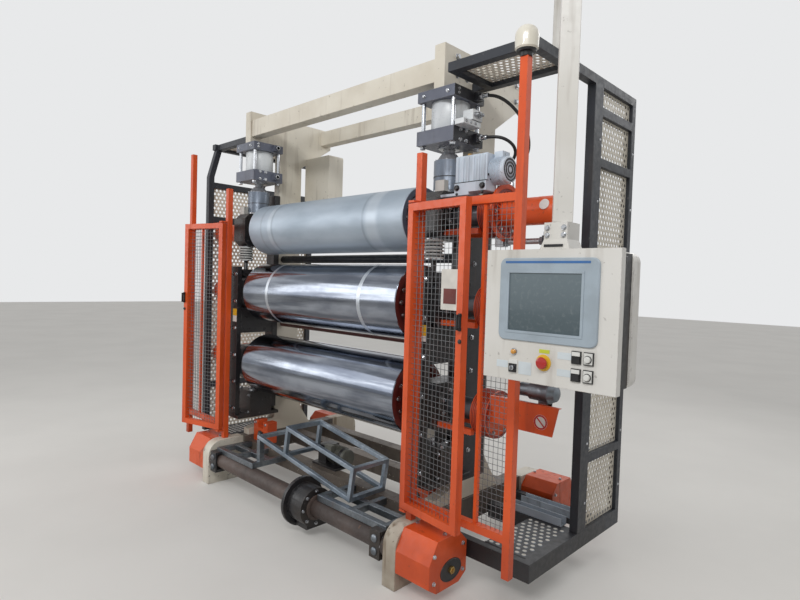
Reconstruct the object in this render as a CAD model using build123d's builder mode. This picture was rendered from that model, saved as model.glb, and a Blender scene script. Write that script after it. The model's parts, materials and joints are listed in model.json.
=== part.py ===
from build123d import *
import math
import os

os.makedirs("parts", exist_ok=True)

# Driving sizes in millimetres. X runs along the rolls towards the operator's end,
# -Y is the front with the mesh doors, +Z is up, and z = 0 is the floor. The pieces are
# drawn about the vertical plane through the roll axes, x = 0 at the middle of the rolls.

# Rolls
face_length = 1650
top_roll_radius = 190.5
main_roll_radius = 228.5
top_nip = 76
bottom_nip = 107
top_nip_stroke = 60
bottom_nip_stroke = 90
journal_radius = 60
neck_radius = 100
neck_gap = 37
end_recess = 25
rim_wall = 34
face_chamfer = 4
far_journal_reach = 190
near_journal_reach = 375

# Side frames
frame_offset = 175
side_plate = 75
upright_front = 170
upright_depth = 220
head_front = -110
head_rear = 700
head_depth = 250
head_gusset = 120
tail_rise = 90
foot_front = -70
foot_rise = 110
foot_slope = 60
heel_reach = 160
heel_rise = 120
frame_fillet = 30

# Slide ways, keeper bars and bearing housings
way_front = 120
way_width = 110
way_margin = 25
way_over = 305
keeper_width = 100
keeper_depth = 40
keeper_over = 70
housing_width = 150
housing_height = 260
housing_front = -165
housing_chamfer = 40
lip = 18
lip_reach = 30
running_gap = 0.5
bearing_cap_radius = 112
bearing_cap = 18
cover_rib = 8
cover_rib_pitch = 17
cover_ribs = 3
lock_height = 60
lock_x = (10, 75)
lock_depth = 35

# Nip stops: an adjusting screw on the middle housing, under a bellows on the top one
stop_y = -105
stop_base = 90
stop_base_height = 50
screw_radius = 16
stop_clearance = 5
low_stop_clearance = 15
bellows_radius = 45
bellows_neck = 37
bellows_bore = 25
bellows_folds = 2
bellows_clearance = 10

# Press and lift cylinders
rod_radius = 32
coupling_radius = 85
coupling_height = 185
coupling_taper = 40
cone_inset = 12
press_gap = 40
press_block = 266
lower_block_height = 80
barrel_height = 160
upper_block_height = 60
barrel_radius = 108
tie_rod_radius = 11
tie_rod_inset = 26
port_pad = 46
port_length = 30
port_y = 60
lift_block = 200
lift_gap = 106
lift_shelf = 25
shelf_clearance = 50
lift_block_height = 185
bore_clearance = 0.5
bore_floor = 15
rod_end_gap = 5

# Base carriage
base_top = 330
base_bottom = 180
base_beam = 100
cross_beam_front = -70
cross_beam_width = 100
cross_beam_low = 190
cross_beam_top = 290
middle_beam_y = 360
rear_beam_y = 680
wheel_inset = 30
wheel_width = 95
wheel_front = -410
wheel_depth = 300
rear_wheel_front = 800
wheel_corner = 110
wheel_cover_width = 235
wheel_cover_bottom = 63
wheel_cover_chamfer = 60
tie_tube_radius = 55
tie_tube_y = -338
tie_flange_radius = 72
tie_flange = 25
ladder_bar = 40
ladder_gap = 190
ladder_depth = 138
cradle_inset = 150
cradle_width = 200
cradle_leg = 62
cradle_height = 170
cradle_web = 55
cradle_front = -30
cradle_depth = 90

# Travel drive on the tie tube, and its motor on the base
disc_x = 140
disc_radius = 155
disc_width = 25
drive_radius = 120
drive_length = 135
drive_foot = 60
drive_foot_inset = 15
travel_motor_x = -60
travel_motor_y = 78
travel_motor_radius = 60
travel_motor_length = 150
motor_plate = 15
motor_gear = 90
motor_foot = 30
motor_plate_reach = 110
motor_plate_inset = 50

# Tilted rack of square bar
rack_bar = 28
rack_tilt = 9
rack_length = 1040
rack_depth = 300
rack_height = 190
rack_x = -464
rack_y = -300
rack_step = 330
seat_gap = 0.3

# Drive end and far end guards
drum_radius = 125
drum_wall = 10
drum_gap = 225
drum_length = 100
cover_reach = 300
cover_radius = 70
shield_reach = 390
shield_front = 95
shield_low = 25
shield_high = 115
shield_flange = 25
shield_slant = 30
guard_sheet = 3
guard_bar = 30
guard_bar_y = 100
guard_bar_drop = 96
far_drum = 60
far_cover_reach = 600
journal_clearance = 6
union_radius = 34
union_reach = 240
union_rise = 85
nipple_reach = 250
nipple_radius = 24
nipple_end = 125
elbow = 50
pipe_radius = 15

# Nip gearbox with its motor
gearbox_inset = 197
gearbox_width = 199
gearbox_front = -190
gearbox_depth = 95
gearbox_over = 95
gearbox_plate = 50
gearbox_height = 138
gearbox_ribs = 6
rib_depth = 6
rib_inset = 8
shelf = 15
shelf_start = 105
shelf_end = 290
shelf_rear = 330
nip_motor_radius = 65
nip_motor_length = 74
nip_motor_y = -105
nip_motor_drop = 15
valve_block = 100
valve_inset = 20
valve_height = 80
hose_radius = 9
hose_sides = 8

# Guards and cages
tube = 40
post_offset = 20
post_y = -250
post_top = 2310
side_panel = 195
outer_post_top = 2660
outer_post_foot = 245
rail_low = 410
rail_high = 2010
door_bottom = 405
door_top = 2035
door_width = 425
door_near_ajar = 7
door_far_ajar = 15
hinge_gap = 34
hinge_lug = 12
pin_radius = 8
pin_length = 35
pin_clearance = 0.5
pin_socket = 45
door_clearance = 5
slim_bar = 20
wire = 5
wire_pitch = 84

# Platforms and end enclosures
platform_low = 150
platform_high = 245
platform_front = -66
platform_beams = (440, 730)
channel = 50
tread_width = 250
tread = 20
end_reach = 10
end_tube = 50
end_drop = 160
thick_post = 100
thick_post_y = 440
rear_post_y = 945
near_rails = (650, 2320, 2600)
canopy_front = -190
canopy_inset = 90
canopy_beam = 140
far_post_y = -130
far_canopy_beams = (-50, 600)
far_bend = 2490
far_bend_rise = 290
far_bend_run = 80
far_rails = (650, 2120, 2420)
sheet = 3
grid_pitch = 150
grid_share = 0.67

# Cross members and rear cabinet
front_beam_y = -100
front_beam_low = 50
front_beam_height = 130
rear_beam_inset = 110
rear_beam_low = 110
rear_beam_height = 120
beam_depth = 90
foot_beam_y = 230
foot_beam_low = 600
foot_beam_height = 140
shaft_y = 230
upper_shaft_rise = 275
upper_shaft_radius = 30
lower_shaft_drop = 265
lower_shaft_radius = 24
cabinet_width = 330
cabinet_depth = 150
cabinet_height = 590
cabinet_drop = 40
cabinet_gap = 40
cabinet_round = 18

# Operator console on its boom
console_reach = 957
console_y = -450
console_width = 565
console_low = 1240
console_high = 1765
front_panel = 35
front_set = 95
console_band = 95
band_inset = 15
rear_shell = 60
rear_shell_round = 40
bracket_height = 107
bracket_neck_height = 67
bracket_foot = (130, 110)
bracket_head = (100, 100)
pendant_tube = 75
boom_stand = 320
boom_start_y = 80
screen_left = 211
screen_right = 209
screen_low = 163
screen_high = 491
bezel = 8
button_reach = 25
lamp_place = (-136, 117)
lamp_radius = 10
stop_place = (-4, 87)
stop_radius = 32
switch_columns = (131, 179)
switch_rows = (58, 123)
switch_reach = 12
switch_size = 40

# Beacon
beacon_base_radius = 30
beacon_base = 25
beacon_radius = 55
beacon_body = 120
beacon_dome = 40
beacon_crown = 28

# Worked out from the sizes above
ends = (1, -1)
half_face = face_length / 2
frame_x = half_face + frame_offset
plate_in = frame_x - side_plate / 2
plate_out = frame_x + side_plate / 2
upright_rear = upright_front + upright_depth
half_housing = housing_height / 2
housing_in = frame_x - housing_width / 2
housing_out = frame_x + housing_width / 2
foot_top = base_top + foot_rise
lift_shelf_top = foot_top + shelf_clearance + lift_shelf
lift_top = lift_shelf_top + lift_block_height
bottom_roll_height = lift_top + lift_gap + half_housing
mid_roll_height = bottom_roll_height + 2 * main_roll_radius + bottom_nip
top_roll_height = mid_roll_height + main_roll_radius + top_nip + top_roll_radius
roll_heights = {"top": top_roll_height, "mid": mid_roll_height, "bottom": bottom_roll_height}
roll_radii = {"top": top_roll_radius, "mid": main_roll_radius, "bottom": main_roll_radius}
coupling_low = top_roll_height + half_housing
coupling_high = coupling_low + coupling_height
press_bottom = coupling_high + coupling_taper + press_gap
barrel_bottom = press_bottom + lower_block_height
barrel_top = barrel_bottom + barrel_height
head_bottom = barrel_top + upper_block_height
head_top = head_bottom + head_depth
way_bottom = lift_shelf_top + way_margin
way_top = top_roll_height + way_over
wheel_in = frame_x - wheel_inset
ladder_top = cross_beam_top
tie_tube_height = ladder_top - ladder_bar - tie_tube_radius
post_x = frame_x + post_offset
outer_post_x = post_x + door_width + side_panel
end_x = outer_post_x + end_reach
end_top = head_top - end_drop
hinge_y = post_y - tube / 2 - hinge_gap
drum_near = housing_out + drum_gap
drum_end = drum_near + drum_length
console_x = frame_x + console_reach
panel_front = console_y - front_set

finished = {}


def block(x, y, z, mode=Mode.ADD):
    """Box between two corners, one (low, high) pair along each axis."""
    with Locations(((x[0] + x[1]) / 2, (y[0] + y[1]) / 2, (z[0] + z[1]) / 2)):
        Box(abs(x[1] - x[0]), y[1] - y[0], z[1] - z[0], mode=mode)


def round_x(radius, x, y, z, mode=Mode.ADD):
    """Cylinder along X from x[0] to x[1]."""
    with Locations(Location(((x[0] + x[1]) / 2, y, z), (0, 90, 0))):
        Cylinder(radius, abs(x[1] - x[0]), mode=mode)


def round_y(radius, x, y, z, mode=Mode.ADD):
    """Cylinder along Y from y[0] to y[1]."""
    with Locations(Location((x, (y[0] + y[1]) / 2, z), (90, 0, 0))):
        Cylinder(radius, abs(y[1] - y[0]), mode=mode)


def round_z(radius, x, y, z, mode=Mode.ADD):
    """Cylinder along Z from z[0] to z[1]."""
    with Locations((x, y, (z[0] + z[1]) / 2)):
        Cylinder(radius, abs(z[1] - z[0]), mode=mode)


def hose(points, radius):
    """Plain hose along straight runs that are joined by the largest arcs that fit them."""
    route = [Vector(*point) for point in points]
    radii = []
    for before, corner, after in zip(route, route[1:], route[2:]):
        run_in = corner - before
        run_out = after - corner
        half_turn = math.radians(run_in.get_angle(run_out)) / 2
        radii.append(0.45 * min(run_in.length, run_out.length) / math.tan(half_turn))
    with BuildLine() as path:
        FilletPolyline(*route, radius=radii)
    with BuildSketch(Plane(origin=path.line @ 0, z_dir=path.line % 0)) as ring:
        RegularPolygon(radius, hose_sides)
    sweep(ring.sketch, path=path.line)
    return [round(bend) for bend in radii]


def around(middle, width):
    """Low and high value of a width about its middle."""
    return (middle - width / 2, middle + width / 2)


def side(end, near, far):
    """Pair of X values, mirrored for the far end."""
    return (end * near, end * far) if end > 0 else (end * far, end * near)


def keep(piece, name):
    """Label a finished piece and keep it for writing."""
    piece.part.label = name
    finished[name] = piece.part


# Side frames: a C-shaped plate at each end, open to the front
with BuildPart() as side_frames:
    for end in ends:
        start = plate_in if end > 0 else -plate_out
        with BuildSketch(Plane.YZ.offset(start)):
            with BuildLine():
                Polyline(
                    (head_front, head_bottom),
                    (upright_front, head_bottom),
                    (upright_front, foot_top),
                    (foot_front, foot_top - foot_slope),
                    (foot_front, base_top),
                    (upright_rear + heel_reach, base_top),
                    (upright_rear, foot_top + heel_rise),
                    (upright_rear, head_bottom - head_gusset),
                    (head_rear, head_bottom + tail_rise),
                    (head_rear, head_top),
                    (head_front, head_top),
                    close=True,
                )
            make_face()
        extrude(amount=side_plate)
    throat = (upright_front - 1, upright_front + 1)
    corners = side_frames.edges().filter_by(Axis.X).filter_by_position(Axis.Y, *throat)
    fillet(corners, frame_fillet)
keep(side_frames, "side_frames")

# Hardened ways on the front edge of each upright
with BuildPart() as slide_ways:
    for end in ends:
        block(around(end * frame_x, way_width), (way_front, upright_front), (way_bottom, way_top))
keep(slide_ways, "slide_ways")

# Keeper bars in front of the lower and middle housings, standing on the lift shelves
keeper_top = mid_roll_height + half_housing + keeper_over
with BuildPart() as keeper_bars:
    for end in ends:
        block(
            around(end * frame_x, keeper_width),
            (housing_front - keeper_depth, housing_front),
            (lift_shelf_top, keeper_top),
        )
keep(keeper_bars, "keeper_bars")


def bearing_housing(end, height):
    """Housing round one journal, lipped over the way behind it."""
    low = height - half_housing
    high = height + half_housing
    start = housing_in if end > 0 else -housing_out
    with BuildSketch(Plane.YZ.offset(start)) as housing_profile:
        with BuildLine():
            Polyline(
                (housing_front + housing_chamfer, low),
                (way_front, low),
                (way_front, high),
                (housing_front + housing_chamfer, high),
                (housing_front, high - housing_chamfer),
                (housing_front, low + housing_chamfer),
                close=True,
            )
        make_face()
    extrude(housing_profile.sketch, amount=housing_width)
    for lip_side in (-1, 1):
        near_edge = frame_x + lip_side * (way_width / 2 + running_gap)
        far_edge = near_edge + lip_side * lip
        lip_low, lip_high = sorted((near_edge, far_edge))
        block(side(end, lip_low, lip_high), (way_front, way_front + lip_reach), (low, high))
    for face in (housing_in - bearing_cap, housing_out):
        round_x(bearing_cap_radius, side(end, face, face + bearing_cap), 0, height)
    bore = journal_radius + bore_clearance
    through = side(end, housing_in - bearing_cap - 1, housing_out + bearing_cap + 1)
    round_x(bore, through, 0, height, Mode.SUBTRACT)


# Middle housings with the lower stops under them and the nip screws on them
mid_top = mid_roll_height + half_housing
mid_low = mid_roll_height - half_housing
screw_top = top_roll_height - half_housing - top_nip_stroke - stop_clearance
low_stop = bottom_roll_height + half_housing + bottom_nip_stroke + low_stop_clearance
with BuildPart() as mid_bearings:
    for end in ends:
        bearing_housing(end, mid_roll_height)
        x = end * frame_x
        block(around(x, keeper_width), (housing_front, way_front), (low_stop, mid_low))
        block(around(x, stop_base), around(stop_y, stop_base), (mid_top, mid_top + stop_base_height))
        round_z(screw_radius, x, stop_y, (mid_top + stop_base_height, screw_top))
keep(mid_bearings, "mid_bearings")

# Top carriage: two housings with the rod couplings, press rods and stop bellows
with BuildPart() as top_bearings:
    for end in ends:
        bearing_housing(end, top_roll_height)
        x = end * frame_x
        round_z(coupling_radius, x, 0, (coupling_low, coupling_high))
        with Locations((x, 0, coupling_high + coupling_taper / 2)):
            Cone(coupling_radius - cone_inset, rod_radius + cone_inset, coupling_taper)
        round_z(rod_radius, x, 0, (coupling_high, barrel_top - bore_floor - rod_end_gap))
        rib_x = side(end, housing_out, housing_out + bearing_cap)
        rib_z = around(top_roll_height, housing_height - 2 * housing_chamfer)
        for i in range(cover_ribs):
            y = housing_front + cover_rib / 2 + 1 + i * cover_rib_pitch
            block(rib_x, around(y, cover_rib), rib_z)
        lock_front = housing_front + housing_chamfer
        lock_reach = side(end, frame_x + lock_x[0], frame_x + lock_x[1])
        block(lock_reach, (lock_front, lock_front + lock_depth), (coupling_low, coupling_low + lock_height))
        bellows_top = top_roll_height - half_housing
        bellows_low = mid_top + stop_base_height + bellows_clearance + top_nip_stroke
        fold = (bellows_top - bellows_low) / bellows_folds
        round_z(bellows_neck, x, stop_y, (bellows_low, bellows_top))
        for i in range(bellows_folds):
            fold_low = bellows_low + i * fold
            round_z(bellows_radius, x, stop_y, (fold_low, fold_low + fold / 2))
        round_z(bellows_bore, x, stop_y, (bellows_low - 1, bellows_top), Mode.SUBTRACT)
keep(top_bearings, "top_bearings")

# Press cylinders: end blocks tied by four rods, hung under the frame heads, with a port on each block
with BuildPart() as press_cylinders:
    half = press_block / 2
    for end in ends:
        x = end * frame_x
        block(around(x, press_block), (-half, half), (press_bottom, barrel_bottom))
        block(around(x, press_block), (-half, half), (barrel_top, head_bottom))
        for dx in (-1, 1):
            for dy in (-1, 1):
                rod_x = x + dx * (half - tie_rod_inset)
                rod_y = dy * (half - tie_rod_inset)
                round_z(tie_rod_radius, rod_x, rod_y, (barrel_bottom - 1, barrel_top + 1))
        for z in ((press_bottom + barrel_bottom) / 2, (barrel_top + head_bottom) / 2):
            block((x + half, x + half + port_length), around(port_y, port_pad), around(z, port_pad))
        round_z(rod_radius + bore_clearance, x, 0, (press_bottom - 1, barrel_bottom + 1), Mode.SUBTRACT)
keep(press_cylinders, "press_cylinders")

with BuildPart() as press_barrels:
    for end in ends:
        x = end * frame_x
        round_z(barrel_radius, x, 0, (barrel_bottom, barrel_top))
        round_z(rod_radius + 5, x, 0, (barrel_bottom - 1, barrel_top - bore_floor), Mode.SUBTRACT)
keep(press_barrels, "press_barrels")

# Bottom carriage: housings with the lift rods below
with BuildPart() as bottom_bearings:
    for end in ends:
        bearing_housing(end, bottom_roll_height)
        rod_low = lift_shelf_top + bore_floor + rod_end_gap
        round_z(rod_radius, end * frame_x, 0, (rod_low, bottom_roll_height - half_housing))
keep(bottom_bearings, "bottom_bearings")

# Lift cylinders on shelves fixed to the uprights
with BuildPart() as lift_cylinders:
    half = lift_block / 2
    for end in ends:
        x = end * frame_x
        shelf_y = (housing_front - keeper_depth, upright_front)
        block(around(x, lift_block), shelf_y, (lift_shelf_top - lift_shelf, lift_shelf_top))
        block(around(x, lift_block), (-half, half), (lift_shelf_top, lift_top))
        bore = rod_radius + bore_clearance
        round_z(bore, x, 0, (lift_shelf_top + bore_floor, lift_top + 1), Mode.SUBTRACT)
keep(lift_cylinders, "lift_cylinders")


def roll(radius, height):
    """Turned roll with recessed ends, a neck and a journal at each end."""
    recess = half_face - end_recess
    neck_end = housing_in - bearing_cap - neck_gap
    far_end = frame_x + far_journal_reach
    near_end = frame_x + near_journal_reach
    with BuildSketch(Plane.XZ) as roll_profile:
        with BuildLine():
            Polyline(
                (-far_end, height),
                (-far_end, height + journal_radius),
                (-neck_end, height + journal_radius),
                (-neck_end, height + neck_radius),
                (-recess, height + neck_radius),
                (-recess, height + radius - rim_wall),
                (-half_face, height + radius - rim_wall),
                (-half_face, height + radius - face_chamfer),
                (-half_face + face_chamfer, height + radius),
                (half_face - face_chamfer, height + radius),
                (half_face, height + radius - face_chamfer),
                (half_face, height + radius - rim_wall),
                (recess, height + radius - rim_wall),
                (recess, height + neck_radius),
                (neck_end, height + neck_radius),
                (neck_end, height + journal_radius),
                (near_end, height + journal_radius),
                (near_end, height),
                close=True,
            )
        make_face()
    revolve(roll_profile.sketch, axis=Axis((0, 0, height), (1, 0, 0)))


for roll_name, roll_height in roll_heights.items():
    with BuildPart() as turned:
        roll(roll_radii[roll_name], roll_height)
    keep(turned, f"{roll_name}_roll")


def journal_guards(height, shielded):
    """Drums, shaft covers and carrying bars at both ends, and the water union at the drive end."""
    round_x(drum_radius, (drum_near, drum_end), 0, height)
    round_x(drum_radius - drum_wall, (drum_near - 1, drum_end - drum_wall), 0, height, Mode.SUBTRACT)
    if shielded:
        shield_end = drum_end + shield_reach
        with BuildSketch(Plane.XZ.offset(shield_front)) as shield_face:
            with BuildLine():
                Polyline(
                    (drum_end, height - shield_low),
                    (shield_end - shield_slant, height - shield_low),
                    (shield_end, height + shield_high),
                    (drum_end, height + shield_high),
                    close=True,
                )
            make_face()
        extrude(shield_face.sketch, amount=-guard_sheet)
        flange = (-shield_front, -shield_front + shield_flange)
        block((drum_end, shield_end), flange, (height + shield_high - guard_sheet, height + shield_high))
        union_end = drum_end + union_reach
        round_x(union_radius, (drum_end, union_end), 0, height)
        block((union_end, union_end + elbow), around(0, elbow), around(height, elbow))
        round_z(pipe_radius, union_end + elbow / 2, 0, (height + elbow / 2, height + union_rise))
        rise_z = around(height + union_rise, elbow)
        block((union_end, union_end + elbow), around(0, elbow), rise_z)
        round_x(pipe_radius, (drum_end, union_end), 0, height + union_rise)
    else:
        round_x(cover_radius, (drum_end, drum_end + cover_reach), 0, height)
        nipple_x = drum_end + nipple_reach
        round_z(nipple_radius, nipple_x, 0, (height - nipple_end, height))
        elbow_z = (height - nipple_end - elbow, height - nipple_end)
        block(around(nipple_x, elbow), around(0, elbow), elbow_z)
        pipe_z = height - nipple_end - elbow / 2
        block((drum_end - elbow, drum_end), around(0, elbow), elbow_z)
        block((drum_end - elbow, drum_end), around(0, elbow), (pipe_z, height - drum_radius + drum_wall))
        round_x(pipe_radius, (drum_end, nipple_x - elbow / 2), 0, pipe_z)
    far_start = housing_out + bearing_cap + 2
    round_x(drum_radius, (-far_start - far_drum, -far_start), 0, height)
    round_x(cover_radius, (-frame_x - far_cover_reach, -far_start - far_drum), 0, height)
    journal_end = -frame_x - far_journal_reach - 10
    round_x(journal_radius + journal_clearance, (journal_end, -far_start + 1), 0, height, Mode.SUBTRACT)
    for dy in (-1, 1):
        bar_y = around(dy * guard_bar_y, guard_bar)
        bar_z = around(height - guard_bar_drop, guard_bar)
        block((housing_out, drum_near + 5), bar_y, bar_z)
        block((-far_start - 5, -housing_out), bar_y, bar_z)


for guard_name, guard_height in roll_heights.items():
    with BuildPart() as guards:
        journal_guards(guard_height, guard_name == "bottom")
    keep(guards, f"{guard_name}_roll_guards")

# Base carriage: side beams and cross beams
with BuildPart() as base_frame:
    for end in ends:
        block(
            around(end * frame_x, base_beam),
            (wheel_front + wheel_depth, rear_wheel_front),
            (base_bottom, base_top),
        )
    inner = frame_x - base_beam / 2
    for y in (cross_beam_front, middle_beam_y, rear_beam_y):
        block((-inner, inner), (y, y + cross_beam_width), (cross_beam_low, cross_beam_top))
keep(base_frame, "base_frame")

wheel_rows = ((wheel_front, -1), (rear_wheel_front, 1))

# Rail wheel housings under the ends of the beams, rounded at their outer top edge
with BuildPart() as wheel_housings:
    for end in ends:
        start = wheel_in if end > 0 else -wheel_in - wheel_width
        for front, toe in wheel_rows:
            outer = front if toe < 0 else front + wheel_depth
            back = front + wheel_depth if toe < 0 else front
            shoulder = (outer - toe * wheel_corner, base_top)
            corner = (outer, base_top - wheel_corner)
            with BuildSketch(Plane.YZ.offset(start)):
                with BuildLine():
                    Polyline(corner, (outer, 0), (back, 0), (back, base_top), shoulder)
                    RadiusArc(shoulder, corner, toe * wheel_corner)
                make_face()
            extrude(amount=wheel_width)
keep(wheel_housings, "wheel_housings")

# Motor covers on the outer faces of the wheel housings
with BuildPart() as wheel_covers:
    for end in ends:
        start = wheel_in + wheel_width if end > 0 else -wheel_in - wheel_width - wheel_cover_width
        for front, toe in wheel_rows:
            outer = front if toe < 0 else front + wheel_depth
            back = front + wheel_depth if toe < 0 else front
            step = -toe * wheel_cover_chamfer
            low_corner = wheel_cover_bottom + 40
            with BuildSketch(Plane.YZ.offset(start)):
                with BuildLine():
                    Polyline(
                        (outer, low_corner),
                        (outer, base_top - wheel_corner),
                        (outer + step, base_top),
                        (back - step, base_top),
                        (back, base_top - wheel_cover_chamfer),
                        (back, low_corner),
                        (back - step, wheel_cover_bottom),
                        (outer + step, wheel_cover_bottom),
                        close=True,
                    )
                make_face()
            extrude(amount=wheel_cover_width)
keep(wheel_covers, "wheel_covers")

# Tie tube between the front wheel housings, flanged at both ends
with BuildPart() as tie_tube:
    round_x(tie_tube_radius, (-wheel_in, wheel_in), tie_tube_y, tie_tube_height)
    for end in ends:
        round_x(tie_flange_radius, side(end, wheel_in - tie_flange, wheel_in), tie_tube_y, tie_tube_height)
keep(tie_tube, "tie_tube")

# Travel drive: a disc and gearbox round the tie tube, and the gearmotor on a plate over the front cross beam
with BuildPart() as travel_drive:
    drive_start = disc_x + disc_width
    drive_end = drive_start + drive_length
    round_x(disc_radius, (disc_x, drive_start), tie_tube_y, tie_tube_height)
    round_x(drive_radius, (drive_start, drive_end), tie_tube_y, tie_tube_height)
    block(
        (drive_start + drive_foot_inset, drive_end - drive_foot_inset),
        (tie_tube_y - drive_foot, tie_tube_y + 3 * drive_foot),
        (drive_foot, cross_beam_low),
    )
    bore = tie_tube_radius + bore_clearance
    round_x(bore, (disc_x - 1, drive_end + 1), tie_tube_y, tie_tube_height, Mode.SUBTRACT)
    motor_end = travel_motor_x + travel_motor_length
    plate_y = (cross_beam_front + motor_plate_inset, travel_motor_y + travel_motor_radius)
    plate_top = cross_beam_top + motor_plate
    motor_z = plate_top + travel_motor_radius + 5
    gear_y = around(travel_motor_y, 2 * travel_motor_radius)
    gear_x = (travel_motor_x - motor_gear, travel_motor_x)
    block((travel_motor_x - motor_plate_reach, motor_end), plate_y, (cross_beam_top, plate_top))
    block(gear_x, gear_y, (plate_top, motor_z + travel_motor_radius))
    round_x(travel_motor_radius, (travel_motor_x, motor_end), travel_motor_y, motor_z)
    for x in (travel_motor_x + motor_foot, motor_end - 2 * motor_foot):
        block((x, x + motor_foot), around(travel_motor_y, travel_motor_radius), (plate_top, motor_z))
keep(travel_drive, "travel_drive")

# Light ladder frames of angle steel over the base, with a riser under the rack
ladder_low = ladder_top - ladder_bar
ladder_front = tie_tube_y - ladder_bar / 2
rack_slope = math.radians(rack_tilt)
rack_z = ladder_top + seat_gap + rack_length * math.sin(rack_slope)
ladder_end = wheel_in - wheel_inset
with BuildPart() as base_ladders:
    for x0, x1 in ((-ladder_end, rack_x + ladder_bar), (disc_x + ladder_gap, ladder_end)):
        for y in (ladder_front, ladder_front + ladder_depth):
            block((x0, x1), (y, y + ladder_bar), (ladder_low, ladder_top))
        for x in (x0, (x0 + x1 - ladder_bar) / 2, x1 - ladder_bar):
            block((x, x + ladder_bar), (ladder_front, cross_beam_front), (ladder_low, ladder_top))
    riser_top = rack_z - ladder_bar * math.tan(rack_slope) - seat_gap / 3
    block((rack_x, rack_x + ladder_bar), (rack_y, rack_y + ladder_bar), (ladder_low, riser_top))
keep(base_ladders, "base_ladders")

# Tilted rack of square bar lying on the ladders
rack_plane = Plane(
    origin=(rack_x, rack_y, rack_z),
    x_dir=(math.cos(rack_slope), 0, -math.sin(rack_slope)),
    z_dir=(math.sin(rack_slope), 0, math.cos(rack_slope)),
)
with BuildPart(rack_plane) as steel_rack:
    rack_end = rack_length - rack_bar
    for y in (0, rack_depth - rack_bar):
        block((0, rack_length), (y, y + rack_bar), (0, rack_bar))
        block((rack_step, rack_length), (y, y + rack_bar), (rack_height, rack_height + rack_bar))
        for x in (rack_step, rack_end):
            block((x, x + rack_bar), (y, y + rack_bar), (0, rack_height + rack_bar))
    for x in (0, rack_step, rack_end):
        block((x, x + rack_bar), (0, rack_depth), (0, rack_bar))
    for x in (rack_step, rack_end):
        block((x, x + rack_bar), (0, rack_depth), (rack_height, rack_height + rack_bar))
keep(steel_rack, "steel_rack")

# Cross beams between the side frames: front and rear of the heads, and low between the uprights
with BuildPart() as cross_beams:
    for y, z, height in (
        (front_beam_y, head_bottom + front_beam_low, front_beam_height),
        (head_rear - rear_beam_inset, head_bottom + rear_beam_low, rear_beam_height),
        (foot_beam_y, foot_beam_low, foot_beam_height),
    ):
        block((-plate_in, plate_in), (y, y + beam_depth), (z, z + height))
keep(cross_beams, "cross_beams")

with BuildPart() as cross_shafts:
    round_x(upper_shaft_radius, (-plate_in, plate_in), shaft_y, mid_roll_height + upper_shaft_rise)
    round_x(lower_shaft_radius, (-plate_in, plate_in), shaft_y, mid_roll_height - lower_shaft_drop)
keep(cross_shafts, "cross_shafts")

# Cabinet on the inner face of the far side frame
with BuildPart() as rear_cabinet:
    cabinet_top = head_bottom - cabinet_drop
    cabinet_front = upright_rear + cabinet_gap
    cabinet_x = (-plate_in, -plate_in + cabinet_width)
    cabinet_y = (cabinet_front, cabinet_front + cabinet_depth)
    block(cabinet_x, cabinet_y, (cabinet_top - cabinet_height, cabinet_top))
    outer_edges = rear_cabinet.edges().filter_by(Axis.Y).filter_by_position(
        Axis.X, cabinet_x[1] - 1, cabinet_x[1] + 1
    )
    fillet(outer_edges, cabinet_round)
keep(rear_cabinet, "rear_cabinet")

# Nip gearbox and its motor on a shelf beside the near frame, with the valve block of the press cylinder
gearbox_low = top_roll_height + gearbox_over
gearbox_x = (frame_x + gearbox_inset, frame_x + gearbox_inset + gearbox_width)
gearbox_y = (gearbox_front, gearbox_front + gearbox_depth)
shelf_top = gearbox_low
valve_x = frame_x + shelf_end - valve_inset - valve_block
valve_y = (upright_front + shelf_rear) / 2
valve_top = shelf_top + valve_height
with BuildPart() as nip_gearbox:
    shelf_z = (shelf_top - shelf, shelf_top)
    block((frame_x + shelf_start, frame_x + shelf_end), (gearbox_front, upright_front + 5), shelf_z)
    block((plate_out, frame_x + shelf_end), (upright_front + 5, shelf_rear), shelf_z)
    block((valve_x, valve_x + valve_block), around(valve_y, valve_block), (shelf_top, valve_top))
    block(gearbox_x, gearbox_y, (gearbox_low, gearbox_low + gearbox_plate))
    body_low = gearbox_low + gearbox_plate
    body_high = body_low + gearbox_height
    body_y = (gearbox_y[0] + rib_inset, gearbox_y[1])
    block(gearbox_x, body_y, (body_low, body_high))
    rib_pitch = gearbox_width / gearbox_ribs
    for i in range(gearbox_ribs):
        rib_x = gearbox_x[0] + rib_pitch * (i + 0.5)
        rib_y = (body_y[0] - rib_depth, body_y[0])
        block(around(rib_x, rib_pitch / 3), rib_y, (body_low, body_high - rib_inset))
    motor_z = (body_low + body_high) / 2 - nip_motor_drop
    motor_y = nip_motor_y
    round_x(nip_motor_radius, (gearbox_x[1], gearbox_x[1] + nip_motor_length), motor_y, motor_z)
keep(nip_gearbox, "nip_gearbox")

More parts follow.
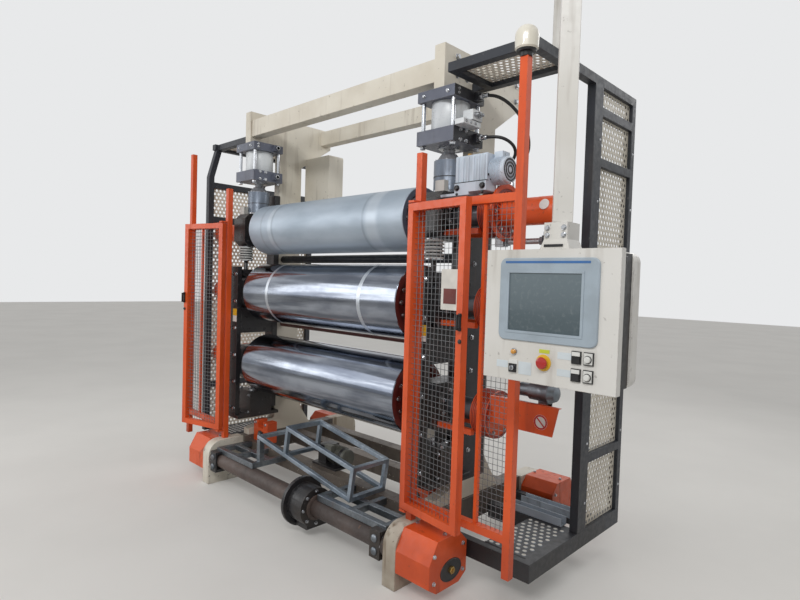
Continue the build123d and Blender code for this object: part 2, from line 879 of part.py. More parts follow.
# Pressure hoses from the ports of the near press cylinder to the valve block
port_x = frame_x + press_block / 2 + port_length
upper_port = (barrel_top + head_bottom) / 2
lower_port = (press_bottom + barrel_bottom) / 2
upper_seat = (valve_x + 75, valve_y + 25)
lower_seat = (valve_x + 28, valve_y - 25)
hose_routes = {
    "upper": (
        (port_x, port_y, upper_port),
        (port_x + 70, port_y, upper_port),
        (port_x + 152, port_y + 35, upper_port - 45),
        (port_x + 202, port_y + 105, upper_port - 125),
        (upper_seat[0] + 127, upper_seat[1] - 35, valve_top + 265),
        (upper_seat[0] + 90, upper_seat[1] + 15, valve_top + 180),
        (*upper_seat, valve_top + 90),
        (*upper_seat, valve_top),
    ),
    "lower": (
        (port_x, port_y, lower_port),
        (port_x + 70, port_y, lower_port),
        (port_x + 140, port_y + 30, lower_port - 10),
        (port_x + 169, port_y + 95, lower_port - 45),
        (lower_seat[0] + 100, lower_seat[1], valve_top + 175),
        (lower_seat[0] + 38, lower_seat[1] + 15, valve_top + 130),
        (*lower_seat, valve_top + 45),
        (*lower_seat, valve_top),
    ),
}
for hose_name, route in hose_routes.items():
    with BuildPart() as pressure_hose:
        bends = hose(route, hose_radius)
    print(f"{hose_name} hose bends in mm: {bends}")
    keep(pressure_hose, f"{hose_name}_hose")


def lattice(x, z, y=0):
    """Wires both ways across a rectangle, fused where they cross."""
    columns = max(1, round((x[1] - x[0]) / wire_pitch) - 1)
    rows = max(1, round((z[1] - z[0]) / wire_pitch) - 1)
    for i in range(1, columns + 1):
        wire_x = x[0] + (x[1] - x[0]) * i / (columns + 1)
        block(around(wire_x, wire), around(y, wire), z)
    for i in range(1, rows + 1):
        wire_z = z[0] + (z[1] - z[0]) * i / (rows + 1)
        block(x, around(y, wire), around(wire_z, wire))


# Cages: square tube frames at each end of the front, carried on the wheel housings
for end_name, end in (("near", 1), ("far", -1)):
    bar_x = post_x + door_width - 5
    with BuildPart() as cage_frame:
        block(around(end * post_x, tube), around(post_y, tube), (base_top, post_top))
        block(around(end * outer_post_x, tube), around(post_y, tube), (outer_post_foot, outer_post_top))
        for z in (rail_low, rail_high):
            block(side(end, post_x - tube / 2, outer_post_x + tube / 2), around(post_y, tube), (z, z + tube))
        block(side(end, bar_x, bar_x + slim_bar), around(post_y, slim_bar), (rail_low, rail_high))
        for z in (door_bottom - door_clearance - hinge_lug, door_top + door_clearance):
            block(around(end * post_x, tube), (hinge_y - tube / 2, post_y), (z, z + hinge_lug))
        round_z(pin_radius, end * post_x, hinge_y, (door_bottom - door_clearance, door_bottom + pin_length))
        round_z(pin_radius, end * post_x, hinge_y, (door_top - pin_length, door_top + door_clearance))
    keep(cage_frame, f"cage_frame_{end_name}")

    with BuildPart() as cage_mesh:
        mesh_x = side(end, bar_x + slim_bar, outer_post_x - tube / 2)
        lattice(mesh_x, (rail_low + tube, rail_high), post_y)
    keep(cage_mesh, f"cage_mesh_{end_name}")

# Doors: tube leaves on pivot pins, standing ajar, with the mesh as its own piece
for end_name, end, ajar in (("near", 1, door_near_ajar), ("far", -1, door_far_ajar)):
    turn = math.radians(ajar)
    leaf_plane = Plane(
        origin=(end * post_x, hinge_y, 0),
        x_dir=(end * math.cos(turn), -math.sin(turn), 0),
        z_dir=(0, 0, 1),
    )
    leaf_x = (-tube / 2, door_width - tube / 2)
    mesh_x = (leaf_x[0] + tube, leaf_x[1] - tube)
    mesh_z = (door_bottom + tube, door_top - tube)
    with BuildPart(leaf_plane) as door_frame:
        for x in (leaf_x[0], mesh_x[1]):
            block((x, x + tube), around(0, tube), (door_bottom, door_top))
        for z in (door_bottom, mesh_z[1]):
            block(mesh_x, around(0, tube), (z, z + tube))
        for z0, z1 in ((door_bottom - 1, door_bottom + pin_socket), (door_top - pin_socket, door_top + 1)):
            round_z(pin_radius + pin_clearance, 0, 0, (z0, z1), Mode.SUBTRACT)
    keep(door_frame, f"door_frame_{end_name}")
    with BuildPart(leaf_plane) as door_mesh:
        lattice(mesh_x, mesh_z)
    keep(door_mesh, f"door_mesh_{end_name}")

# Platforms: channel frames cantilevered from the base beams, carrying the end enclosures
end_in = end_x - end_tube
rear_high = rear_post_y + end_tube
with BuildPart() as platforms:
    base_out = frame_x + base_beam / 2
    platform_z = (platform_low, platform_high)
    for end in ends:
        for y in (platform_front,) + platform_beams:
            block(side(end, base_out, end_x - channel), (y, y + channel), platform_z)
        block(side(end, end_x - channel, end_x), (platform_front, rear_high), platform_z)
        tread_x = side(end, end_x - channel - tread_width, end_x - channel)
        block(tread_x, (platform_front + channel, platform_beams[0]), (platform_high - tread, platform_high))
keep(platforms, "platforms")

# Near enclosure: black posts and rails, a canopy frame over the drive end
canopy_z = (end_top - end_tube, end_top)
thick_rear = thick_post_y + thick_post
canopy_in = plate_out + canopy_inset
with BuildPart() as enclosure_frame_near:
    block((end_in, end_x), (thick_post_y, thick_rear), (platform_high, end_top))
    block((end_in, end_x), (rear_post_y, rear_high), (platform_high, end_top))
    for z in near_rails:
        block((end_in, end_x), (thick_rear, rear_post_y), around(z, end_tube))
    block((end_in, end_x), (canopy_front, rear_high), canopy_z)
    block((canopy_in, end_in), (canopy_front, canopy_front + end_tube), canopy_z)
    block((plate_out, end_in), (canopy_beam, canopy_beam + end_tube), canopy_z)
    block((canopy_in, canopy_in + end_tube), (canopy_front, canopy_beam), canopy_z)
keep(enclosure_frame_near, "enclosure_frame_near")

sheet_x = end_x - end_tube / 2
sheet_z = end_top - end_tube / 2


def wall_bays(rails):
    """Low and high edge of each panel between the platform, the rails and the top rail."""
    lows = [platform_high] + [z + end_tube / 2 for z in rails]
    highs = [z - end_tube / 2 for z in rails] + [end_top - end_tube]
    return list(zip(lows, highs))


def openwork(face, across, up):
    """Sheet on a face plane, through which a plain grid of openings is cut."""
    width = across[1] - across[0]
    height = up[1] - up[0]
    columns = max(1, round(width / grid_pitch))
    rows = max(1, round(height / grid_pitch))
    with BuildSketch(face) as outline:
        with Locations((sum(across) / 2, sum(up) / 2)):
            Rectangle(width, height)
            with GridLocations(width / columns, height / rows, columns, rows):
                Rectangle(grid_share * width / columns, grid_share * height / rows, mode=Mode.SUBTRACT)
    extrude(outline.sketch, amount=sheet)


with BuildPart() as enclosure_panels_near:
    for bay in wall_bays(near_rails):
        openwork(Plane.YZ.offset(sheet_x), (thick_rear, rear_post_y), bay)
    roof = Plane.XY.offset(sheet_z)
    openwork(roof, (canopy_in + end_tube, end_in), (canopy_front + end_tube, canopy_beam))
keep(enclosure_panels_near, "enclosure_panels_near")

# Far enclosure: front post bent back at its top
far_inner = far_post_y + end_tube
with BuildPart() as enclosure_frame_far:
    block((-end_x, -end_in), (far_post_y, far_inner), (platform_high, far_bend))
    with BuildSketch(Plane.YZ.offset(-end_x)):
        with BuildLine():
            Polyline(
                (far_post_y, far_bend),
                (far_inner, far_bend),
                (far_inner + far_bend_run, far_bend + far_bend_rise),
                (far_post_y + far_bend_run, far_bend + far_bend_rise),
                close=True,
            )
        make_face()
    extrude(amount=end_tube)
    block((-end_x, -end_in), (rear_post_y, rear_high), (platform_high, end_top))
    for z in far_rails:
        block((-end_x, -end_in), (far_inner, rear_post_y), around(z, end_tube))
    block((-end_x, -end_in), (far_inner, rear_high), canopy_z)
    for y in far_canopy_beams:
        block((-end_in, -plate_out), (y, y + end_tube), canopy_z)
keep(enclosure_frame_far, "enclosure_frame_far")

with BuildPart() as enclosure_panels_far:
    for bay in wall_bays(far_rails)[:-1]:
        openwork(Plane.YZ.offset(-sheet_x - sheet), (far_inner, rear_post_y), bay)
    openwork(roof, (-end_in, -plate_out), (far_canopy_beams[0] + end_tube, far_canopy_beams[1]))
keep(enclosure_panels_far, "enclosure_panels_far")

# Cradles on the base for propping the bottom roll, cut like an H
with BuildPart() as roll_cradles:
    cradle_y = (cradle_front, cradle_front + cradle_depth)
    for end in ends:
        x = end * (frame_x - cradle_inset)
        block(around(x, cradle_width), cradle_y, (cross_beam_top, cross_beam_top + cradle_web))
        for dx in (-1, 1):
            leg_x = around(x + dx * (cradle_width - cradle_leg) / 2, cradle_leg)
            block(leg_x, cradle_y, (cross_beam_top, cross_beam_top + cradle_height))
        web_low = cross_beam_top + cradle_web + 30
        block(around(x, cradle_width), cradle_y, (web_low, web_low + cradle_web / 2))
keep(roll_cradles, "roll_cradles")

# Beacon on the near outer post, turned to a domed lens
with BuildPart() as beacon:
    lens_low = outer_post_top + beacon_base
    lens_high = lens_low + beacon_body
    with BuildSketch(Plane.XZ.offset(-post_y)) as lens:
        with BuildLine():
            Polyline(
                (outer_post_x, outer_post_top),
                (outer_post_x + beacon_base_radius, outer_post_top),
                (outer_post_x + beacon_base_radius, lens_low),
                (outer_post_x + beacon_radius, lens_low + beacon_dome),
                (outer_post_x + beacon_radius, lens_high - beacon_dome),
                (outer_post_x + beacon_crown, lens_high),
                (outer_post_x, lens_high),
                close=True,
            )
        make_face()
    revolve(lens.sketch, axis=Axis((outer_post_x, post_y, 0), (0, 0, 1)))
keep(beacon, "beacon")

# Boom on the side rail of the near canopy, and the pendant tube that holds the console
pendant_bottom = console_high + bracket_height
boom_bottom = end_top + boom_stand
boom_dx = console_x - sheet_x
boom_dy = console_y - boom_start_y
boom_length = math.hypot(boom_dx, boom_dy)
boom_plane = Plane(origin=(sheet_x, boom_start_y, 0), x_dir=(boom_dx, boom_dy, 0), z_dir=(0, 0, 1))
with BuildPart(boom_plane) as console_boom:
    tube_y = around(0, pendant_tube)
    boom_reach = (-pendant_tube / 2, boom_length + pendant_tube / 2)
    block(boom_reach, tube_y, (boom_bottom, boom_bottom + pendant_tube))
    block(around(0, pendant_tube), tube_y, (end_top, boom_bottom))
    block(around(boom_length, pendant_tube), tube_y, (pendant_bottom, boom_bottom))
keep(console_boom, "console_boom")

# Console: front panel, recessed band, rear shell with rounded lower corners, and a flared bracket
band_front = panel_front + front_panel
shell_front = band_front + console_band
shell_rear = shell_front + rear_shell
with BuildPart() as console_case:
    half = console_width / 2
    block(around(console_x, console_width), (panel_front, band_front), (console_low, console_high))
    band_x = around(console_x, console_width - 2 * band_inset)
    block(band_x, (band_front, shell_front), (console_low + band_inset, console_high - band_inset))
    with BuildSketch(Plane.XZ.offset(-shell_rear)) as shell:
        with Locations((console_x, (console_low + console_high) / 2)):
            shell_width = console_width - band_inset
            RectangleRounded(shell_width, console_high - console_low - band_inset, rear_shell_round)
    extrude(shell.sketch, amount=rear_shell)
    neck_low = pendant_bottom - bracket_neck_height
    with BuildSketch(Plane.XY.offset(console_high)) as bracket:
        with Locations((console_x, console_y)):
            Rectangle(*bracket_foot)
    with BuildSketch(Plane.XY.offset(neck_low)) as bracket_neck:
        with Locations((console_x, console_y)):
            Rectangle(*bracket_head)
    loft([bracket.sketch.face(), bracket_neck.sketch.face()])
    head_x = around(console_x, bracket_head[0])
    block(head_x, around(console_y, bracket_head[1]), (neck_low, pendant_bottom))
    block(
        around(console_x, bracket_foot[0]),
        around(console_y, bracket_foot[1]),
        (console_high - band_inset - 1, console_high),
    )
keep(console_case, "console_case")

with BuildPart() as console_screen:
    bezel_x = (console_x - screen_left, console_x + screen_right)
    block(bezel_x, (panel_front - bezel, panel_front), (console_low + screen_low, console_low + screen_high))
keep(console_screen, "console_screen")

# Controls under the screen: lamp, mushroom stop and four switch modules
with BuildPart() as console_controls:
    for (dx, dz), radius in ((lamp_place, lamp_radius), (stop_place, stop_radius)):
        round_y(radius, console_x + dx, (panel_front - button_reach, panel_front), console_low + dz)
    for dx in switch_columns:
        for dz in switch_rows:
            switch_x = around(console_x + dx, switch_size)
            block(switch_x, (panel_front - switch_reach, panel_front), around(console_low + dz, switch_size))
keep(console_controls, "console_controls")

# Written with the origin on the floor, under the middle of the whole machine
boxes = [part.bounding_box() for part in finished.values()]
middle_x = (min(box.min.X for box in boxes) + max(box.max.X for box in boxes)) / 2
middle_y = (min(box.min.Y for box in boxes) + max(box.max.Y for box in boxes)) / 2
for name, part in finished.items():
    placed = part.moved(Location((-middle_x, -middle_y, 0)))
    placed.label = name
    export_step(placed, f"parts/{name}.step")
print(f"{len(finished)} pieces; the roll plane lies {-middle_x:.3f}, {-middle_y:.3f} mm from the origin")
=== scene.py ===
import json
import math
import random
from itertools import product

import bmesh
import bpy
from mathutils import Matrix, Vector


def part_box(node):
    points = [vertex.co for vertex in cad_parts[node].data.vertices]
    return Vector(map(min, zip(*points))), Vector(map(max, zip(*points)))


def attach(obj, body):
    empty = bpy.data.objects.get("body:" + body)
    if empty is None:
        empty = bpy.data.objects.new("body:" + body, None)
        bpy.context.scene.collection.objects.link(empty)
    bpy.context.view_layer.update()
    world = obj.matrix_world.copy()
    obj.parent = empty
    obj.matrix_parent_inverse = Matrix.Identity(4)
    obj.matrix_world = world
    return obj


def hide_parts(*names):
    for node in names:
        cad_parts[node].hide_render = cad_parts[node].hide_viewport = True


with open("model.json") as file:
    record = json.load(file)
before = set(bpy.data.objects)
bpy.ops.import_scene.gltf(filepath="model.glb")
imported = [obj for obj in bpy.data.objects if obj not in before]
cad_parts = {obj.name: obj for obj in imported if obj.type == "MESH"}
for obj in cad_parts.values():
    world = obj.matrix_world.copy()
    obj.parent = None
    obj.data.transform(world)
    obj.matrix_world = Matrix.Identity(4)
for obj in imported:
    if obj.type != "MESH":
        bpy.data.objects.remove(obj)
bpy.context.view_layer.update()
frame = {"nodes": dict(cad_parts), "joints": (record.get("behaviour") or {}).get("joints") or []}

scene = bpy.context.scene
nodes = frame["nodes"]
joints = {joint["name"]: joint for joint in frame["joints"]}
rollHeights = {name: joints[f"{name}_roll_spin"]["pos_m"][2] for name in ("top", "mid", "bottom")}
rollMiddle = Vector(joints["mid_roll_spin"]["pos_m"])
upward, downward, frontward, nearward = (0, 0, 1), (0, 0, -1), (0, -1, 0), (1, 0, 0)
ends = (1, -1)  # the operator's end and the far end
print("frame loaded:", len(nodes), "nodes")


def spot(x, y, z):
    # a place measured from the upright plane through the roll axes
    return Vector((x + rollMiddle.x, y + rollMiddle.y, z))


def rgb(red, green, blue):
    # an ordinary 0-255 colour as the shader wants it
    linear = (((c / 255 + 0.055) / 1.055) ** 2.4 if c > 10 else c / 3295 for c in (red, green, blue))
    return (*linear, 1.0)


# finishes


class Wire:
    # one output socket, on which sums can be written
    def __init__(self, finish, socket):
        self.finish = finish
        self.socket = socket

    def __add__(self, other):
        return self.finish.math("ADD", self, other)

    def __radd__(self, other):
        return self.finish.math("ADD", other, self)

    def __sub__(self, other):
        return self.finish.math("SUBTRACT", self, other)

    def __rsub__(self, other):
        return self.finish.math("SUBTRACT", other, self)

    def __mul__(self, other):
        return self.finish.math("MULTIPLY", self, other)

    def __rmul__(self, other):
        return self.finish.math("MULTIPLY", other, self)

    def __gt__(self, other):
        return self.finish.math("GREATER_THAN", self, other)

    def __lt__(self, other):
        return self.finish.math("LESS_THAN", self, other)


class ShaderTree:
    # the nodes of a material or of the world: node() adds any node
    def __init__(self, owner):
        owner.use_nodes = True
        self.tree = owner.node_tree
        self.tree.nodes.clear()

    def node(self, kind, settings=None, sockets=None):
        made = self.tree.nodes.new("ShaderNode" + kind)
        for key, value in (settings or {}).items():
            setattr(made, key, value)
        for key, value in (sockets or {}).items():
            if isinstance(key, int):
                socket = made.inputs[key]
            else:
                socket = next(s for s in made.inputs if s.name == key and s.enabled)
            if isinstance(value, Wire):
                self.tree.links.new(value.socket, socket)
            else:
                socket.default_value = value
        return {s.name: Wire(self, s) for s in made.outputs if s.enabled}

    def math(self, operation, first, second):
        return self.node("Math", {"operation": operation}, {0: first, 1: second})["Value"]

    def backdropMask(self):
        # 1 for what the camera sees directly, in a mirror or through glass
        rays = self.node("LightPath")
        seen = self.math("MAXIMUM", rays["Is Camera Ray"], rays["Is Glossy Ray"])
        return self.math("MAXIMUM", seen, rays["Is Transmission Ray"])


class Finish(ShaderTree):
    # one material, with the patterns that the finishes share
    def __init__(self, name):
        self.material = bpy.data.materials.new(name)
        super().__init__(self.material)
        self.place = self.node("TexCoord")["Object"]
        xyz = self.node("SeparateXYZ", {}, {0: self.place})
        self.x, self.y, self.z = xyz["X"], xyz["Y"], xyz["Z"]

    def noise(self, scale, detail, stretch=(1, 1, 1)):
        moved = self.node("Mapping", {}, {"Vector": self.place, "Scale": stretch})["Vector"]
        sockets = {"Vector": moved, "Scale": scale, "Detail": detail, "Roughness": 0.55}
        return self.node("TexNoise", {}, sockets)["Fac"]

    def step(self, value, low, high, start=0.0, end=1.0):
        # smooth change from start to end while value goes from low to high
        sockets = {"Value": value, "From Min": low, "From Max": high, "To Min": start, "To Max": end}
        return self.node("MapRange", {"interpolation_type": "SMOOTHSTEP"}, sockets)["Result"]

    def mix(self, share, first, second):
        return self.node("Mix", {"data_type": "RGBA"}, {"Factor": share, "A": first, "B": second})["Result"]

    def inside(self, low, high):
        # 1 within a box of the frame, from its low to its high corner
        found = None
        for wire, start, end in zip((self.x, self.y, self.z), low, high):
            part = (wire > start) * (wire < end)
            found = part if found is None else found * part
        return found

    def edges(self, radius):
        # 1 along the edges, where paint wears off first
        bent = self.node("Bevel", {"samples": 4}, {"Radius": radius})["Normal"]
        flat = self.node("NewGeometry")["Normal"]
        together = self.node("VectorMath", {"operation": "DOT_PRODUCT"}, {0: bent, 1: flat})["Value"]
        return self.step(together, 0.96, 0.82)

    def bump(self, height, distance, strength):
        sockets = {"Height": height, "Distance": distance, "Strength": strength}
        return self.node("Bump", {}, sockets)["Normal"]

    def shade(self, **sockets):
        names = {
            "colour": "Base Color",
            "roughness": "Roughness",
            "metal": "Metallic",
            "normal": "Normal",
            "coat": "Coat Weight",
            "glow": "Emission Color",
            "glowStrength": "Emission Strength",
        }
        shader = self.node("BsdfPrincipled", {}, {names[key]: value for key, value in sockets.items()})
        self.node("OutputMaterial", {}, {"Surface": shader["BSDF"]})
        return self.material


def paint(name, look):
    # brushed or sprayed machine paint: mottled, scuffed, dirty towards the floor, worn at the edges
    finish = Finish(name)
    cloud = finish.noise(2.2, 4.0)
    speck = finish.noise(38, 4.0)
    dirtAndReflectionStreak = finish.noise(14, 3.0, (1, 1, 0.12))
    colour = finish.mix(finish.step(cloud, 0.35, 0.68), look["colour"], look["shadow"])
    bright = None
    for low, high, other, metallic in look.get("patches", ()):
        patch = finish.inside(spot(*low), spot(*high))
        colour = finish.mix(patch, colour, other)
        if metallic:
            bright = patch * metallic if bright is None else bright + patch * metallic
    dirt = finish.step(dirtAndReflectionStreak, 0.56, 0.74) * look["dirt"]
    low = finish.step(finish.z, 0.9, 0.0) * finish.step(cloud, 0.38, 0.6)
    dirt = dirt + low * look.get("floorDirt", 0.35)
    colour = finish.mix(dirt, colour, look["grime"])
    worn = finish.step(speck, 0.66, 0.71) * look["chips"]
    if look["edge"] > 0:
        worn = worn + finish.edges(look["edge"]) * finish.step(speck, 0.42, 0.56)
    colour = finish.mix(worn, colour, look["bare"])
    rough = finish.step(speck, 0.3, 0.7, look["roughness"] - 0.07, look["roughness"] + 0.1) + dirt * 0.2
    peel = finish.noise(260, 2.0) * 0.4 + finish.noise(30, 3.0) * 0.6
    normal = finish.bump(peel, 0.0012, 0.25)
    if bright is None:
        return finish.shade(colour=colour, roughness=rough, normal=normal)
    return finish.shade(colour=colour, roughness=rough, normal=normal, metal=bright)


def metal(name, look):
    # bare or plated steel with fine grain and specks of rust
    finish = Finish(name)
    grain = finish.noise(look["grain"], 4.0, (1, 1, look["drawn"]))
    cloud = finish.noise(3.5, 4.0)
    rust = finish.step(finish.noise(9, 6.0), 0.58, 0.72) * look["rust"]
    colour = finish.mix(finish.step(cloud, 0.3, 0.7), look["colour"], look["shadow"])
    colour = finish.mix(finish.step(grain, 0.35, 0.75) * 0.5, colour, look["shadow"])
    colour = finish.mix(rust, colour, look["rusty"])
    rough = finish.step(grain, 0.3, 0.7, look["roughness"] - 0.08, look["roughness"] + 0.1) + rust * 0.3
    shine = (1 - rust) * look["metal"]
    return finish.shade(colour=colour, roughness=rough, metal=shine, normal=finish.bump(grain, 0.0006, 0.3))


def plastic(name, look):
    # moulded plastic or rubber with a fine skin and handling marks
    finish = Finish(name)
    smear = finish.noise(9, 4.0)
    dull = tuple(c * 0.72 + 0.02 for c in look["colour"][:3]) + (1.0,)
    colour = finish.mix(finish.step(smear, 0.4, 0.7) * 0.6, look["colour"], dull)
    rough = finish.step(smear, 0.35, 0.65, look["roughness"] - 0.06, look["roughness"] + 0.1)
    normal = finish.bump(finish.noise(420, 2.0), 0.0004, 0.2)
    return finish.shade(colour=colour, roughness=rough, normal=normal, coat=look["coat"])


def readRows(keys, rows):
    # a table of finishes as looks: the triples in a row are colours
    return {name: {key: rgb(*value) if isinstance(value, tuple) else value for key, value in zip(keys, row)}
            for name, row in rows.items()}


paints = readRows(("colour", "shadow", "grime", "bare", "roughness", "dirt", "chips", "edge"), {
    "cream": ((226, 220, 206), (210, 202, 186), (126, 110, 92), (96, 84, 74), 0.42, 0.3, 0.35, 0.004),
    "orange": ((228, 92, 38), (212, 80, 32), (110, 44, 28), (92, 70, 60), 0.36, 0.25, 0.3, 0.003),
    "black": ((44, 48, 56), (33, 36, 42), (66, 62, 58), (110, 108, 106), 0.45, 0.4, 0.35, 0.003),
    "oily": ((34, 34, 37), (48, 44, 42), (60, 50, 42), (120, 116, 112), 0.33, 0.5, 0.4, 0.003),
    "slate": ((98, 103, 118), (84, 88, 102), (52, 50, 52), (150, 150, 152), 0.34, 0.35, 0.3, 0.003),
    "paleGrey": ((224, 228, 230), (200, 204, 208), (110, 104, 98), (120, 116, 112), 0.3, 0.25, 0.2, 0.002),
    "gearGrey": ((208, 220, 232), (180, 192, 204), (66, 62, 60), (96, 92, 90), 0.4, 0.45, 0.4, 0.002),
    "motorGrey": ((98, 98, 90), (76, 76, 70), (40, 38, 34), (150, 148, 140), 0.45, 0.5, 0.4, 0.002),
    "maroon": ((112, 42, 34), (86, 32, 30), (48, 30, 28), (110, 84, 78), 0.5, 0.3, 0.3, 0),
    "brown": ((92, 78, 72), (66, 56, 52), (42, 36, 34), (134, 100, 78), 0.5, 0.4, 0.5, 0.003),
})
metals = readRows(("colour", "shadow", "rusty", "roughness", "rust", "grain", "metal", "drawn"), {
    "zinc": ((140, 143, 145), (104, 106, 109), (112, 84, 70), 0.5, 0.3, 80, 0.4, 1),
    "rackSteel": ((178, 190, 202), (124, 136, 148), (112, 84, 66), 0.36, 0.15, 50, 0.8, 1),
    "brass": ((190, 158, 96), (140, 112, 66), (90, 74, 54), 0.35, 0.2, 60, 1.0, 1),
    "chrome": ((205, 207, 210), (160, 162, 166), (110, 84, 66), 0.24, 0.12, 90, 1.0, 1),
    "steel": ((148, 154, 160), (104, 110, 116), (112, 78, 58), 0.42, 0.35, 50, 1.0, 1),
    "rod": ((214, 216, 220), (180, 184, 190), (90, 80, 72), 0.16, 0.05, 120, 1.0, 0.05),
})
plastics = readRows(("colour", "roughness", "coat"), {
    "folds": ((206, 208, 205), 0.6, 0),
    # painted light: the pale discs inside the tread holes
    "paleHole": ((214, 212, 204), 0.7, 0),
    "signRed": ((190, 40, 36), 0.5, 0),
    # black rubber, which also paints the shade in the grooves of the bellows
    "rubber": ((30, 30, 32), 0.5, 0),
    # black plastic, also used as painted shade in openings and gaps
    "blackPlastic": ((26, 26, 28), 0.35, 0),
    "redPlastic": ((176, 34, 30), 0.3, 0.4),
    "yellowPlastic": ((226, 178, 28), 0.4, 0),
    "limePlastic": ((198, 206, 60), 0.4, 0),
    "whitePlastic": ((226, 226, 222), 0.4, 0),
    "amberPlastic": ((214, 148, 44), 0.25, 0.5),
    "bluePlastic": ((60, 110, 170), 0.35, 0),
    "bezel": ((165, 178, 188), 0.4, 0),
    "paleStrip": ((212, 220, 224), 0.45, 0),
    "paper": ((224, 220, 212), 0.8, 0),
})

# variants of the paints; patches are boxes of another colour: low, high, colour, share of metal
couplingGrey, brightSteel, darkFitting = rgb(112, 122, 136), rgb(176, 178, 182), rgb(58, 60, 66)
guardFittings = []
for height in (rollHeights["top"], rollHeights["mid"]):
    guardFittings.append(((1.61, -0.04, height - 0.19), (1.69, 0.04, height - 0.071), darkFitting, 0.5))
    guardFittings.append(((1.33, -0.03, height - 0.19), (1.62, 0.03, height - 0.122), brightSteel, 0.9))
height = rollHeights["bottom"]
shieldFittings = [((1.402, -0.05, height - 0.05), (1.70, 0.05, height + 0.13), brightSteel, 0.9)]
carriageFittings = [
    ((-1.12, -0.09, 2.128), (1.12, 0.09, 2.309), couplingGrey, 0.3),
    ((-1.12, -0.09, 2.309), (1.12, 0.09, 2.351), brightSteel, 0.6),
    ((-1.12, -0.04, 2.351), (1.12, 0.04, 2.60), brightSteel, 1.0),
    ((-1.12, -0.1255, 2.1255), (1.12, -0.0895, 2.186), rgb(186, 184, 178), 0),
]
consoleBand = [((1.60, -0.5095, 1.20), (2.30, -0.4155, 1.7655), rgb(34, 34, 36), 0)]
frameBand = [((1.0372, 0.10, 0.44), (1.04, 0.40, 2.07), rgb(52, 52, 56), 0)]
lowerShaft = [((-0.97, 0.20, 1.20), (0.97, 0.26, 1.27), rgb(112, 58, 50), 0)]
blockFace = [((1.1325, -0.14, 2.38), (1.17, 0.14, 2.70), rgb(44, 45, 50), 0)]
boomGrey = dict(paints["cream"], colour=rgb(224, 222, 217), shadow=rgb(212, 209, 202))
baseColours = {"colour": rgb(112, 102, 92), "shadow": rgb(84, 75, 68), "bare": rgb(190, 182, 168)}
paints |= {
    "carriage": dict(paints["oily"], patches=carriageFittings),
    "guards": dict(paints["orange"], patches=guardFittings),
    "shield": dict(paints["orange"], patches=shieldFittings),
    "boomGrey": boomGrey,
    "consoleCream": dict(boomGrey, patches=consoleBand),
    "frameCream": dict(paints["cream"], patches=frameBand),
    "wheelCream": dict(paints["cream"], dirt=0.65, chips=0.9, floorDirt=0.7, edge=0.008),
    "baseBrown": dict(paints["brown"], **baseColours),
    "coverOrange": dict(paints["orange"], dirt=0.6, floorDirt=0.25),
    "guardRed": dict(paints["orange"], colour=rgb(150, 50, 34), shadow=rgb(120, 40, 30)),
    "shafts": dict(paints["black"], patches=lowerShaft),
    "blocks": dict(paints["slate"], patches=blockFace),
}
finishes = {}
for make, looks in ((paint, paints), (metal, metals), (plastic, plastics)):
    for name, look in looks.items():
        finishes[name] = make(name, look)
print("finishes made:", len(finishes))


# shapes


